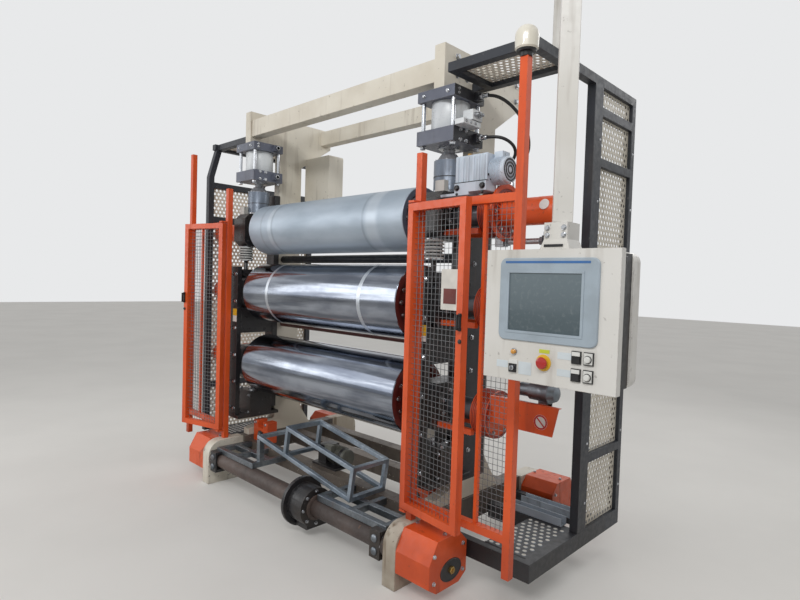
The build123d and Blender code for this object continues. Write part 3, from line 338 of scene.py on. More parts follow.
class Shape:
    # faces of one piece, gathered from simple turned and square forms
    def __init__(self):
        self.mesh = bmesh.new()
        self.finish = 0

    def use(self, finish):
        # the finish of the faces that follow, by its place in the piece's list
        self.finish = finish
        return self

    def corners(self, places):
        return [self.mesh.verts.new(place) for place in places]

    def face(self, corners):
        made = self.mesh.faces.new(corners)
        made.material_index = self.finish
        made.smooth = True

    def join(self, ring, following):
        # a band of faces between two rings of corners, either of which may be one point
        count = max(len(ring), len(following))
        for i in range(count):
            j = (i + 1) % count
            if len(ring) == 1:
                self.face([ring[0], following[j], following[i]])
            elif len(following) == 1:
                self.face([ring[i], ring[j], following[0]])
            else:
                self.face([ring[i], ring[j], following[j], following[i]])

    def block(self, low, high, turn=None):
        # box between two corners, turned by a matrix where one is given
        xs, ys, zs = zip(low, high)
        places = [Vector((x, y, z)) for z in zs for y in ys for x in xs]
        v = self.corners([turn @ place for place in places] if turn else places)
        for ring in ((0, 2, 3, 1), (4, 5, 7, 6), (0, 1, 5, 4), (2, 6, 7, 3), (0, 4, 6, 2), (1, 3, 7, 5)):
            self.face([v[i] for i in ring])

    def lathe(self, origin, direction, profile, sides=32, start=0.0):
        # profile is (distance, radius) or (distance, radius, finish) along the direction
        direction = Vector(direction).normalized()
        turn = direction.to_track_quat("Z", "Y").to_matrix()
        angles = [start + 2 * math.pi * i / sides for i in range(sides)]
        rings = []
        for step in profile:
            centre = Vector(origin) + direction * step[0]
            if step[1] == 0:
                rings.append(self.corners([centre]))
                continue
            points = [turn @ Vector((math.cos(a), math.sin(a), 0)) * step[1] for a in angles]
            rings.append(self.corners([centre + point for point in points]))
        for below, above, step in zip(rings, rings[1:], profile[1:]):
            if len(step) > 2:
                self.finish = step[2]
            self.join(below, above)

    def oval(self, centre, reach, steps, sides=40):
        # closed oval facing the operator's end: steps are (height off the face, widening)
        angles = [2 * math.pi * i / sides for i in range(sides)]
        rings = []
        for height, wider in steps:
            wide, tall = reach[0] + wider, reach[1] + wider
            points = [Vector((height, wide * math.cos(a), tall * math.sin(a))) for a in angles]
            rings.append(self.corners([centre + point for point in points]))
        for below, above in zip(rings, rings[1:]):
            self.join(below, above)
        self.face(rings[-1])

    def rod(self, origin, direction, length, radius, sides=24, edge=0.0):
        edge = edge or min(0.0015, radius * 0.15)
        profile = ((0, 0), (0, radius - edge), (edge, radius))
        profile += ((length - edge, radius), (length, radius - edge), (length, 0))
        self.lathe(origin, direction, profile, sides)

    def bolt(self, origin, direction, size):
        # washer and hexagon head, size across the corners
        self.rod(origin, direction, size * 0.12, size * 0.62, 16)
        profile = ((0, size * 0.5), (size * 0.36, size * 0.5), (size * 0.42, size * 0.42), (size * 0.42, 0))
        self.lathe(Vector(origin) + Vector(direction) * size * 0.12, direction, profile, 6, random.random())

    def ring(self, origin, direction, count, radius, size, start=0.0):
        # bolts on a circle
        turn = Vector(direction).to_track_quat("Z", "Y").to_matrix()
        for i in range(count):
            a = start + 2 * math.pi * i / count
            self.bolt(Vector(origin) + turn @ Vector((math.cos(a), math.sin(a), 0)) * radius, direction, size)

    def piece(self, name, body, used, soften=0.0, split=35, standsFor=None):
        mesh = bpy.data.meshes.new(name)
        bmesh.ops.recalc_face_normals(self.mesh, faces=self.mesh.faces)
        for edge in self.mesh.edges:
            if len(edge.link_faces) == 2 and edge.calc_face_angle(0) > math.radians(split):
                edge.smooth = False
        self.mesh.to_mesh(mesh)
        self.mesh.free()
        for finish in used:
            mesh.materials.append(finishes[finish] if isinstance(finish, str) else finish)
        made = bpy.data.objects.new(name, mesh)
        scene.collection.objects.link(made)
        if soften > 0:
            roundEdges(made, soften, 40)
        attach(made, body)
        if standsFor:
            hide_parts(standsFor)


def roundEdges(made, width, angle):
    bevel = made.modifiers.new("edge", "BEVEL")
    bevel.width = width
    bevel.segments = 2
    bevel.limit_method = "ANGLE"
    bevel.angle_limit = math.radians(angle)
    bevel.harden_normals = True


# profiles of turned parts, used in several places


def collar(inner, outer, straight, height, top):
    # ring with a chamfered end, open underneath
    return (0, inner), (0, outer), (straight, outer), (height, top), (height, inner)


def sleeve(inner, outer, straight, height):
    # short tube that closes in on what it sits on
    return (0, inner), (0, outer), (straight, outer), (height, inner)


def cap(radius, straight, height, top):
    # closed cap with a chamfered end
    return (0, radius), (straight, radius), (height, top), (height, 0)


def seal(outer, straight, height, top, inner):
    # flat ring lying on a face
    return (0, outer), (straight, outer), (height, top), (height, inner), (0, inner)


def fin(inner, outer, width):
    # thin rib round a drum
    return (0, inner), (0.001, outer), (width - 0.001, outer), (width, inner)


random.seed(7)

# camera, light and floor

cameraView = {"place": (3.033, -2.466, 1.625), "yaw": 44.07, "pitch": -1.96, "roll": 1.77, "lens": 24.99}
studio = {
    "sky": 0.42,
    "wall": rgb(232, 233, 234),
    "floor": rgb(206, 204, 200),
    "floorStain": rgb(186, 184, 180),
    "floorGlow": 0.22,
    "aim": (0, 0, 1.4),
    "lamps": {  # place, power, width and height
        "keyLamp": ((2.6, -4.2, 4.6), 130, 4.0, 0.5),
        "fillLamp": ((-3.8, -4.0, 3.0), 60, 3.0, 3.0),
        "backLamp": ((1.0, 4.5, 4.5), 70, 4.0, 2.0),
    },
}


def makeCamera():
    camera = bpy.data.objects.new("photoCamera", bpy.data.cameras.new("photoCamera"))
    scene.collection.objects.link(camera)
    camera.data.lens = cameraView["lens"]
    camera.data.sensor_width = 36
    yaw, pitch, roll = (math.radians(cameraView[key]) for key in ("yaw", "pitch", "roll"))
    aim = Matrix.Rotation(yaw, 4, "Z") @ Matrix.Rotation(math.pi / 2 + pitch, 4, "X")
    aim = aim @ Matrix.Rotation(roll, 4, "Z")
    camera.matrix_world = Matrix.Translation(spot(*cameraView["place"])) @ aim
    scene.camera = camera
    scene.view_settings.view_transform = "Standard"


def makeSky():
    world = bpy.data.worlds.new("studioSky")
    scene.world = world
    sky = ShaderTree(world)
    light = sky.node("Background", {}, {"Color": (1, 1, 1, 1), "Strength": studio["sky"]})["Background"]
    shown = sky.node("Background", {}, {"Color": studio["wall"], "Strength": 1.0})["Background"]
    both = sky.node("MixShader", {}, {0: sky.backdropMask(), 1: light, 2: shown})["Shader"]
    sky.node("OutputWorld", {}, {"Surface": both})


def makeLamp(name, place, power, width, height):
    lamp = bpy.data.lights.new(name, "AREA")
    lamp.shape = "RECTANGLE"
    lamp.size = width
    lamp.size_y = height
    lamp.energy = power
    holder = bpy.data.objects.new(name, lamp)
    scene.collection.objects.link(holder)
    holder.location = spot(*place)
    holder.rotation_mode = "QUATERNION"
    holder.rotation_quaternion = (spot(*studio["aim"]) - spot(*place)).to_track_quat("-Z", "Y")


def makeFloor():
    shape = bmesh.new()
    bmesh.ops.create_grid(shape, x_segments=1, y_segments=1, size=30)
    mesh = bpy.data.meshes.new("studioFloor")
    shape.to_mesh(mesh)
    shape.free()
    floor = bpy.data.objects.new("studioFloor", mesh)
    scene.collection.objects.link(floor)
    floor.location = (0, 0, -0.001)
    finish = Finish("studioFloor")
    cloud = finish.noise(0.8, 5.0)
    colour = finish.mix(finish.step(cloud, 0.3, 0.7) * 0.25, studio["floor"], studio["floorStain"])
    glow = finish.mix(finish.backdropMask(), (0, 0, 0, 1), colour)
    strength = studio["floorGlow"]
    mesh.materials.append(finish.shade(colour=colour, roughness=0.75, glow=glow, glowStrength=strength))


makeCamera()
makeSky()
for name, lamp in studio["lamps"].items():
    makeLamp(name, *lamp)
makeFloor()
print("camera, light and floor made")

# the three rolls

rollLook = {
    "sides": 192,
    "half": 0.825,  # half the length of the roll face
    "rim": 0.034,
    "recess": 0.025,
    "fillet": 0.012,
    "chamfer": 0.004,
    "neck": 0.100,
    "neckEnd": 0.870,
    "journal": 0.060,
    "tape": 0.030,
    "tapeAt": (-0.50, 0.51),
    "rings": (  # place, half width, how much paler or darker
        (0.56, 0.070, 0.3), (0.485, 0.014, -0.35), (-0.51, 0.014, -0.35), (-0.545, 0.03, 0.3),
        (-0.655, 0.014, -0.3)),
    "endBolts": 12,
    "boltSize": 0.022,
}
# the streak colour is painted reflection: dark bands that run along the chrome rolls
chromeLook = {"colour": rgb(160, 166, 176), "shadow": rgb(126, 132, 144), "dirtAndReflectionStreak": rgb(82, 88, 100),
              "smear": rgb(96, 92, 98), "tape": rgb(216, 222, 228)}
mattLook = {"colour": rgb(176, 188, 200), "shadow": rgb(154, 167, 180), "pale": rgb(214, 222, 230),
            "dark": rgb(112, 122, 134)}


def chromeFace(name, tape):
    # ground and plated face: fine turning lines round the roll, hazy bands, dark painted reflection streaks
    # along the axis and a few handling marks
    finish = Finish(name)
    lines = finish.noise(26, 5.0, (22, 1, 1))
    haze = finish.noise(5, 4.0, (0.6, 1.6, 1.6))
    smear = finish.noise(2.4, 5.0, (0.35, 2.4, 2.4))
    dirtAndReflectionStreak = finish.noise(16, 5.0, (0.06, 1, 1))
    colour = finish.mix(finish.step(haze, 0.35, 0.7), chromeLook["colour"], chromeLook["shadow"])
    # dark streaks along the axis: painted reflection bands
    colour = finish.mix(finish.step(dirtAndReflectionStreak, 0.42, 0.64) * 0.8, colour, chromeLook["dirtAndReflectionStreak"])
    colour = finish.mix(finish.step(smear, 0.5, 0.72) * 0.45, colour, chromeLook["smear"])
    rough = finish.step(haze, 0.3, 0.7, 0.08, 0.15) + finish.step(lines, 0.4, 0.8) * 0.05
    half = rollLook["tape"] / 2
    for place in tape:
        middle = rollMiddle.x + place
        band = (finish.x > middle - half) * (finish.x < middle + half)
        colour = finish.mix(band * 0.6, colour, chromeLook["tape"])
        rough = rough + band * 0.25
    return finish.shade(colour=colour, roughness=rough, metal=1.0, normal=finish.bump(lines, 0.0003, 0.12))


def mattFace(name):
    # rubbed blue-grey face with faint rings
    finish = Finish(name)
    lines = finish.noise(30, 4.0, (16, 1, 1))
    haze = finish.noise(3, 4.0, (0.5, 1.5, 1.5))
    colour = finish.mix(finish.step(haze, 0.35, 0.7), mattLook["colour"], mattLook["shadow"])
    rough = finish.step(haze, 0.3, 0.7, 0.38, 0.5) + finish.step(lines, 0.4, 0.8) * 0.05
    for place, half, shine in rollLook["rings"]:
        away = finish.math("ABSOLUTE", finish.x - (rollMiddle.x + place), 0)
        band = finish.step(away, half, half * 0.4)
        colour = finish.mix(band * abs(shine), colour, mattLook["pale" if shine > 0 else "dark"])
        rough = rough - band * 0.1
    return finish.shade(colour=colour, roughness=rough, metal=0.35, normal=finish.bump(lines, 0.0003, 0.2))


def makeRoll(name, face, endPaint):
    look = rollLook
    low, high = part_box(f"{name}_roll")
    length = high.x - low.x
    radius = (high.z - low.z) / 2
    middle = rollMiddle.x - low.x
    half, fillet, chamfer = look["half"], look["fillet"], look["chamfer"]
    neck, neckEnd, journal = look["neck"], look["neckEnd"], look["journal"]
    recess = half - look["recess"]
    rim = radius - look["rim"]
    side = (  # one end of the roll from its neck to its face: distance from the middle, radius, finish
        (neckEnd, journal, 2), (neckEnd, neck, 1), (recess, neck, 1), (recess, rim - fillet, 1),
        (recess + fillet, rim, 1), (half, rim, 1), (half, radius - chamfer, 0), (half - chamfer, radius, 0))
    profile = [(0, 0, 2), (0, journal - 0.003, 2), (0.003, journal, 2)]
    profile += [(middle - away, wide, finish) for away, wide, finish in side]
    profile += [(middle + away, wide, finish) for away, wide, finish in reversed(side)]
    profile += [(length - 0.003, journal, 2), (length, journal - 0.003, 2), (length, 0, 2)]
    shape = Shape()
    height = rollHeights[name]
    shape.lathe((low.x, rollMiddle.y, height), nearward, profile, look["sides"])
    shape.use(3)
    for end in ends:
        endPlate = spot(end * recess, 0, height)
        shape.ring(endPlate, (end, 0, 0), look["endBolts"], (rim + neck) / 2, look["boltSize"])
    used = [face, endPaint, "steel", "chrome"]
    shape.piece(f"{name}Roll", f"{name}_roll", used, split=30, standsFor=f"{name}_roll")


makeRoll("top", mattFace("topRollFace"), "slate")
makeRoll("mid", chromeFace("midRollFace", rollLook["tapeAt"]), "maroon")
makeRoll("bottom", chromeFace("bottomRollFace", ()), "maroon")
print("rolls made")

# wire mesh of the doors and cages

meshLook = {"pitch": 0.0285, "wire": 0.0028, "sides": 6}
doorLook = {
    "near": (1, 7),  # its end, and the degrees that it stands ajar
    "far": (-1, 15),
    "mesh": (0.020, 0.345, 0.445, 1.995),  # from the hinge, width, low and high
}


def doorAxes(name):
    # a door's hinge, and the directions along its leaf and out of its front
    end, ajar = doorLook[name]
    turn = math.radians(ajar)
    along = Vector((end * math.cos(turn), -math.sin(turn), 0))
    out = Vector((-end * math.sin(turn), -math.cos(turn), 0))
    return Vector(joints[f"{name}_door_swing"]["pos_m"]), along, out


def wireMesh(name, node, body, origin, across, width, low, high):
    # welded mesh: wires across and up that touch where they cross
    shape = Shape()
    across = Vector(across).normalized()
    out = across.cross(Vector(upward))
    wire = meshLook["wire"]
    columns = round(width / meshLook["pitch"])
    rows = round((high - low) / meshLook["pitch"])
    for i in range(1, columns):
        foot = Vector(origin) + across * (width * i / columns) + out * wire * 0.4
        shape.rod((foot.x, foot.y, low), upward, high - low, wire / 2, meshLook["sides"])
    for i in range(1, rows):
        start = Vector((origin[0], origin[1], low + (high - low) * i / rows)) - out * wire * 0.4
        shape.rod(start, across, width, wire / 2, meshLook["sides"])
    shape.piece(name, body, ["zinc"], split=80, standsFor=node)


for name in ("near", "far"):
    hinge, along, out = doorAxes(name)
    start, width, low, high = doorLook["mesh"]
    origin = hinge + along * start
    wireMesh(f"{name}DoorMesh", f"door_mesh_{name}", f"{name}_door", origin, along, width, low, high)
for name in ("near", "far"):
    low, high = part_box(f"cage_mesh_{name}")
    origin = (low.x, (low.y + high.y) / 2, 0)
    wireMesh(f"{name}CageMesh", f"cage_mesh_{name}", "frame", origin, nearward, high.x - low.x, low.z, high.z)
print("wire mesh made")

# perforated panels of the end enclosures

sheetLook = {"pitch": 0.036, "hole": 0.011, "sides": 8, "thickness": 0.003}


def perforate(shape, origin, across, rise, width, height):
    # rows of round holes, every other row moved by half a pitch
    across, rise = Vector(across), Vector(rise)
    out = across.cross(rise) * sheetLook["thickness"]
    rows = max(1, round(height / (sheetLook["pitch"] * 0.87)))
    count = max(1, round(width / sheetLook["pitch"]))
    rowHeight = height / rows
    cell = width / count
    sides = sheetLook["sides"]
    angles = [2 * math.pi * i / sides for i in range(sides)]

    def corners(points, side):
        return shape.corners([origin + across * x + rise * z + out * side for x, z in points])

    def hole(left, right, bottom, top):
        x, z = (left + right) / 2, (bottom + top) / 2
        border = [(right, z), (right, top), (x, top), (left, top)]
        border += [(left, z), (left, bottom), (x, bottom), (right, bottom)]
        edge = [(x + sheetLook["hole"] * math.cos(a), z + sheetLook["hole"] * math.sin(a)) for a in angles]
        rings = [corners(points, side) for points, side in ((border, 0), (edge, 0), (edge, 1), (border, 1))]
        for inner, outer in zip(rings, rings[1:]):
            shape.join(inner, outer)

    def plain(left, right, bottom, top):
        for side in (0, 1):
            shape.face(corners([(left, bottom), (right, bottom), (right, top), (left, top)], side))

    for row in range(rows):
        bottom, top = row * rowHeight, (row + 1) * rowHeight
        shift = cell / 2 if row % 2 else 0
        if shift:
            plain(0, shift, bottom, top)
            plain(width - shift, width, bottom, top)
        for i in range(count - row % 2):
            hole(shift + i * cell, shift + (i + 1) * cell, bottom, top)


def solidBoxes(node):
    # the separate boxes of a CAD node, from its loose parts
    source = bmesh.new()
    source.from_mesh(nodes[node].data)
    bmesh.ops.remove_doubles(source, verts=source.verts, dist=0.00001)
    found = []
    left = set(source.verts)
    while left:
        group = {left.pop()}
        edge = list(group)
        while edge:
            vert = edge.pop()
            for other in (link.other_vert(vert) for link in vert.link_edges):
                if other not in group:
                    group.add(other)
                    edge.append(other)
        left -= group
        points = [vert.co for vert in group]
        found.append((Vector(map(min, zip(*points))), Vector(map(max, zip(*points)))))
    source.free()
    return sorted(found, key=lambda pair: tuple(pair[0]))


for name in ("near", "far"):
    node = f"enclosure_panels_{name}"
    panels = Shape()
    for low, high in solidBoxes(node):
        size = high - low
        if size.z < 0.01:
            perforate(panels, low, nearward, (0, 1, 0), size.x, size.y)
        else:
            perforate(panels, low, (0, 1, 0), upward, size.y, size.z)
    panels.piece(f"{name}Panels", "frame", ["cream"], split=50, standsFor=node)
print("perforated panels made")

# pressure hoses, along the routes of their solids: from a port of the near cylinder to the valve block

hoseLook = {
    "radius": 0.009,
    "upper": ((1.163, 0.060, 2.660), (1.233, 0.060, 2.660), (1.315, 0.095, 2.615), (1.365, 0.165, 2.535),
              (1.372, 0.240, 2.435), (1.335, 0.290, 2.350), (1.245, 0.275, 2.260), (1.245, 0.275, 2.170)),
    "lower": ((1.163, 0.060, 2.430), (1.233, 0.060, 2.430), (1.303, 0.090, 2.420), (1.332, 0.155, 2.385),
              (1.298, 0.225, 2.345), (1.236, 0.240, 2.300), (1.198, 0.225, 2.215), (1.198, 0.225, 2.170)),
}


def hoseLength(route):
    # measured on the smooth line itself
    made = bpy.data.objects.new("measure", route)
    scene.collection.objects.link(made)
    bevel = route.bevel_depth
    route.bevel_depth = 0
    mesh = bpy.data.meshes.new_from_object(made)
    route.bevel_depth = bevel
    steps = ((mesh.vertices[a].co, mesh.vertices[b].co) for a, b in (edge.vertices for edge in mesh.edges))
    total = sum((start - end).length for start, end in steps)
    bpy.data.objects.remove(made)
    bpy.data.meshes.remove(mesh)
    return total


def makeHose(name):
    points = hoseLook[name]
    curve = bpy.data.curves.new(f"{name}Hose", "CURVE")
    curve.dimensions = "3D"
    curve.resolution_u = 12
    curve.bevel_depth = 1.0  # the points carry the radius
    curve.bevel_resolution = 4
    curve.use_fill_caps = True
    spline = curve.splines.new("NURBS")
    spline.points.add(len(points) - 1)
    for point, place in zip(spline.points, points):
        point.co = (*spot(*place), 1)
        point.radius = hoseLook["radius"]
    spline.order_u = 3
    spline.use_endpoint_u = True
    curve.materials.append(finishes["rubber"])
    hose = bpy.data.objects.new(f"{name}Hose", curve)
    scene.collection.objects.link(hose)
    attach(hose, "frame")
    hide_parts(f"{name}_hose")
    length = hoseLength(curve)
    print(name, "hose is", round(length, 3), "m long")
    spot(*points[0])


makeHose("upper")
makeHose("lower")
print("hoses made")

# console: bezel, display, lamp, key switch, stop button and switch modules

consoleLook = {  # places from the middle of the panel and its lower edge
    "bottom": 1.240,
    "display": (-0.166, 0.142, 0.203, 0.432),
    "corner": 0.028,
    "shoulder": 0.003,
    "rim": (0.010, 0.002),
    "glassDrop": 0.003,
    "stripe": (0.025, 0.035, 0.012, 0.021),
    "lamp": (-0.136, 0.117, 0.010),
    "key": (-0.138, 0.058, 0.020),
    "stop": (-0.004, 0.087, 0.032),
    "columns": (0.131, 0.179),
    "rows": (0.058, 0.123),
    "module": (0.019, 0.024),
    "labels": ((0.054, 0.110, 0.110, 0.136), (0.054, 0.110, 0.046, 0.072), (-0.217, -0.164, 0.048, 0.076),
               (-0.114, -0.056, 0.030, 0.080)),
    "limeLabel": (-0.024, 0.020, 0.124, 0.138),
    "labelRise": 0.0012,
    "knobs": ((0.050, 0.485), (0.050, 0.042)),
    "knobDrop": 0.018,
    # colours of the display glass at its bottom and top: the paler top is a painted reflection
    "glass": (rgb(78, 92, 98), rgb(98, 112, 118)),
    "dust": rgb(140, 148, 150),
}
lampLens = ((0, 1), (0.010, 0.9), (0.014, 0.5), (0.015, 0))  # radii as shares of the lamp's
stopHead = ((0, 0.012), (0.007, 0.012), (0.009, 0.022), (0.015, 0.0235), (0.019, 0.021), (0.021, 0.015),
            (0.0215, 0))
turnKnob = ((0, 0.0145), (0.003, 0.0145), (0.003, 0.012), (0.010, 0.0115, 5), (0.0115, 0.0095, 5),
            (0.0115, 0, 5))
caseKnob = ((0, 0.009), (0.004, 0.013), (0.014, 0.013), (0.017, 0.010), (0.017, 0))
caseLow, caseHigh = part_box("console_case")
screenLow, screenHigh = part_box("console_screen")
caseMiddle = (caseLow.x + caseHigh.x) / 2


def onPanel(x, z, out=0.0):
    # a place on the face of the console
    return Vector((caseMiddle + x, screenHigh.y - out, consoleLook["bottom"] + z))


def roundedLoop(left, right, low, high, radius):
    # points round a rectangle with rounded corners
    points = []
    for x, z, start in ((right - radius, high - radius, 0), (left + radius, high - radius, 90),
                        (left + radius, low + radius, 180), (right - radius, low + radius, 270)):
        for i in range(7):
            a = math.radians(start + 15 * i)
            points.append((x + radius * math.cos(a), z + radius * math.sin(a)))
    return points


def makeScreen():
    front, back = screenLow.y, screenHigh.y
    left, right, low, high = consoleLook["display"]
    left, low = onPanel(left, low).xz
    right, high = onPanel(right, high).xz
    shoulder, corner = consoleLook["shoulder"], consoleLook["corner"]
    edge = (screenLow.x, screenHigh.x, screenLow.z, screenHigh.z)
    outer = roundedLoop(*edge, corner)
    chamfer = roundedLoop(*(place + shoulder * side for place, side in zip(edge, (1, -1, 1, -1))), corner)
    inner = roundedLoop(left, right, low, high, 0.004)
    loops = ((outer, back), (outer, front + shoulder), (chamfer, front), (inner, front), (inner, back))
    bezel = Shape()
    rings = [bezel.corners([(x, y, z) for x, z in loop]) for loop, y in loops]
    for ring, following in zip(rings, rings[1:] + rings[:1]):
        bezel.join(ring, following)
    bezel.piece("screenBezel", "console", ["bezel"], standsFor="console_screen")
    rim = Shape()
    wide, rise = consoleLook["rim"]
    rim.block((left - wide, front - rise, low - wide), (right + wide, front, low))
    rim.block((left - wide, front - rise, high), (right + wide, front, high + wide))
    rim.block((left - wide, front - rise, low), (left, front, high))
    rim.block((right, front - rise, low), (right + wide, front, high))
    rim.piece("displayRim", "console", ["bezel"], soften=0.0008)
    glass = Shape()
    glass.block((left, front + consoleLook["glassDrop"], low), (right, back, high))
    glass.piece("screenGlass", "console", [glassWithPaintedReflection(low, high)], soften=0.001)
    stripe = Shape()
    fromLeft, fromRight, near, far = consoleLook["stripe"]
    stripe.block((screenLow.x + fromLeft, front - 0.0008, screenHigh.z - far),
                 (screenHigh.x - fromRight, front, screenHigh.z - near))
    stripe.piece("screenStripe", "console", ["bluePlastic"])


def glassWithPaintedReflection(low, high):
    # dusty dark glass, a little paler towards its top: the paler top is a painted reflection
    finish = Finish("screenGlass")
    dust = finish.noise(60, 5.0)
    # paler towards the top: painted reflection
    colour = finish.mix(finish.step(finish.z, low, high), *consoleLook["glass"])
    colour = finish.mix(finish.step(dust, 0.5, 0.75) * 0.25, colour, consoleLook["dust"])
    return finish.shade(colour=colour, roughness=finish.step(dust, 0.4, 0.8, 0.10, 0.3), coat=0.5)


def makeControls():
    shape = Shape()

    def plate(x, z, wide, low, high, back, front):
        # block on the panel: half its width, its reach down and up, and its two depths
        shape.block(onPanel(x, z) + Vector((-wide, -front, low)), onPanel(x, z) + Vector((wide, -back, high)))

    x, z, radius = consoleLook["lamp"]
    wider = radius + 0.004
    shape.lathe(onPanel(x, z), frontward, ((0, 0), (0, wider), (0.004, wider), (0.004, radius)), 28)
    lens = [(distance, radius * share) for distance, share in lampLens]
    shape.use(2).lathe(onPanel(x, z, 0.004), frontward, lens, 28)
    x, z, half = consoleLook["key"]
    shape.use(5)
    plate(x, z, half, -half * 1.3, half * 1.3, 0, 0.004)
    shape.use(1)
    plate(x, z, half - 0.002, -half * 1.2, half * 0.5, 0.004, 0.008)
    shape.use(0).lathe(onPanel(x, z - 0.006, 0.008), frontward, cap(0.010, 0.008, 0.009, 0.008), 24)
    plate(x, z, 0.0015, -0.014, 0.004, 0.015, 0.026)
    x, z, radius = consoleLook["stop"]
    shape.use(3).lathe(onPanel(x, z), frontward, collar(0, radius, 0.003, 0.0035, radius - 0.001), 40)
    shape.use(4).lathe(onPanel(x, z, 0.0035), frontward, stopHead, 40)
    half, tall = consoleLook["module"]
    lens = half - 0.003
    for (column, x), z in product(enumerate(consoleLook["columns"]), consoleLook["rows"]):
        shape.use(1)
        plate(x, z, half, -tall, tall, 0, 0.006)
        shape.use(5)
        plate(x, z, lens, 0.004 - tall if column else 0.006, tall - 0.003, 0.006, 0.010)
        shape.use(1)
        if column:
            shape.lathe(onPanel(x, z - 0.002, 0.010), frontward, turnKnob, 24)
        else:
            plate(x, z, lens, 0.003 - tall, 0.004, 0.006, 0.011)
    used = ["chrome", "blackPlastic", "amberPlastic", "yellowPlastic", "redPlastic", "whitePlastic"]
    shape.piece("consoleControls", "console", used, soften=0.0006,
                standsFor="console_controls")


def makeLabels():
    labels = Shape()
    rise = consoleLook["labelRise"]
    for left, right, low, high in consoleLook["labels"]:
        labels.block(onPanel(left, low, rise), onPanel(right, high))
    left, right, low, high = consoleLook["limeLabel"]
    labels.use(1).block(onPanel(left, low, rise), onPanel(right, high))
    labels.piece("consoleLabels", "console", ["paleStrip", "limePlastic"])
    knobs = Shape()
    for inset, height in consoleLook["knobs"]:
        place = (caseHigh.x - consoleLook["knobDrop"], screenHigh.y + inset, consoleLook["bottom"] + height)
        knobs.lathe(place, nearward, caseKnob, 20)
    knobs.piece("consoleKnobs", "console", ["blackPlastic"])


makeScreen()
makeControls()
makeLabels()

bracketLook = {"x": 1.957, "front": -0.500, "boltX": (-0.035, 0.035), "boltZ": (1.850, 1.822), "size": 0.018,
               "slot": (-0.045, 0.035, 1.776, 1.786), "slotRise": 0.0065}


def makeBracket():
    # bolts of the bracket over the console, and its slot as a dark block of painted shade
    shape = Shape()
    look = bracketLook
    x, y = look["x"], look["front"]
    for dx, z in product(look["boltX"], look["boltZ"]):
        shape.bolt(spot(x + dx, y, z), frontward, look["size"])
    # the slot: a dark block of painted shade
    left, right, low, high = look["slot"]
    shape.use(1).block(spot(x + left, y - look["slotRise"], low), spot(x + right, y, high))
    shape.piece("bracketBolts", "console", ["chrome", "blackPlastic"])


makeBracket()
print("console face made")

# beacon on the near post

beaconLook = {"steps": 10, "wall": 0.001, "lens": (rgb(238, 234, 222), rgb(222, 216, 200))}
beaconFoot = ((0, 0), (0, 0.5), (0.018, 0.55), (0.020, 0.8), (0.030, 0.85))  # radii as shares of the dome's


def makeBeacon():
    low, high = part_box("beacon")
    radius = (high.x - low.x) / 2
    height = high.z - low.z
    profile = [(distance, radius * share, 1) for distance, share in beaconFoot]
    profile.append((0.036, radius * 0.97, 0))
    steps = beaconLook["steps"]
    for i in range(steps + 1):
        a = math.pi / 2 * i / steps
        distance = height - radius + (radius - beaconLook["wall"]) * math.sin(a)
        profile.append((max(distance, 0.034), radius * math.cos(a) if i < steps else 0, 0))
    shape = Shape()
    shape.lathe(((low.x + high.x) / 2, (low.y + high.y) / 2, low.z), upward, profile, 48)
    finish = Finish("milkyLens")
    ribs = finish.noise(4, 2.0)
    colour = finish.mix(finish.step(ribs, 0.3, 0.7), *beaconLook["lens"])
    lens = finish.shade(colour=colour, roughness=0.25 + ribs * 0.1, coat=0.4)
    shape.piece("beaconDome", "frame", [lens, "blackPlastic"], standsFor="beacon")


makeBeacon()
print("beacon made")

# bearing housings: bolt circle and seal ring on the caps at both sides

bearingLook = {"capAt": 1.093, "innerCap": 0.907, "circle": 0.094, "bolts": 8, "size": 0.020, "start": 0.39,
               "seal": 0.082, "shaft": 0.0625}


def bearingBolts(name, body):
    shape = Shape()
    look = bearingLook
    lip = seal(look["seal"], 0.003, 0.005, look["seal"] - 0.003, look["shaft"])
    for end in ends:
        for place, out in ((look["capAt"], end), (look["innerCap"], -end)):
            centre = spot(end * place, 0, rollHeights[name])
            shape.use(0).ring(centre, (out, 0, 0), look["bolts"], look["circle"], look["size"], look["start"])
            shape.use(1).lathe(centre, (out, 0, 0), lip, 40)
    shape.piece(f"{name}BearingBolts", body, ["chrome", "rubber"])


bearingBolts("top", "top_carriage")
bearingBolts("mid", "frame")
bearingBolts("bottom", "bottom_carriage")

# press cylinders: tie rods and nuts, glands, ports with the hoses' ends, and the near cylinder's manifold

pressLook = {
    "corner": 0.107,
    "low": 2.39,
    "rods": (2.47, 2.63, 0.0122),  # low, high, radius
    "nut": 0.034,
    "face": 0.133,  # outer and front faces of the end blocks
    "lowBolts": ((2.402, 2.458), (-0.075, -0.025), 0.020),
    "highBolts": ((2.650, 2.672), (-0.095,), 0.014),
    "frontBolts": ((-0.085, 0.085), 2.660, 0.018),
    "ports": (0.163, 0.060, (2.43, 2.66)),
    "manifold": ((1.1345, -0.055, 2.505), (1.200, 0.030, 2.560)),
    "manifoldFoot": ((1.1345, -0.125, 2.472), (1.195, 0.025, 2.500)),
    "stems": (1.200, (-0.035, -0.002), 2.532),
    "screws": (1.195, (-0.105, -0.065, -0.025), 2.486),
}
portNut = ((0, 0), (0, 0.019), (0.014, 0.019), (0.016, 0.016), (0.016, 0.013))
portCrimp = ((0.010, 0.0125), (0.014, 0.0135), (0.046, 0.0135), (0.052, 0.0105), (0.052, 0.0092))
seatNut = ((0, 0.018), (0.014, 0.018), (0.016, 0.015), (0.016, 0.0095))
seatCrimp = ((0.014, 0.0135), (0.044, 0.0135), (0.050, 0.0105), (0.050, 0.0092))
valveStem = ((0, 0.013), (0.010, 0.013), (0.011, 0.009), (0.030, 0.009), (0.030, 0))


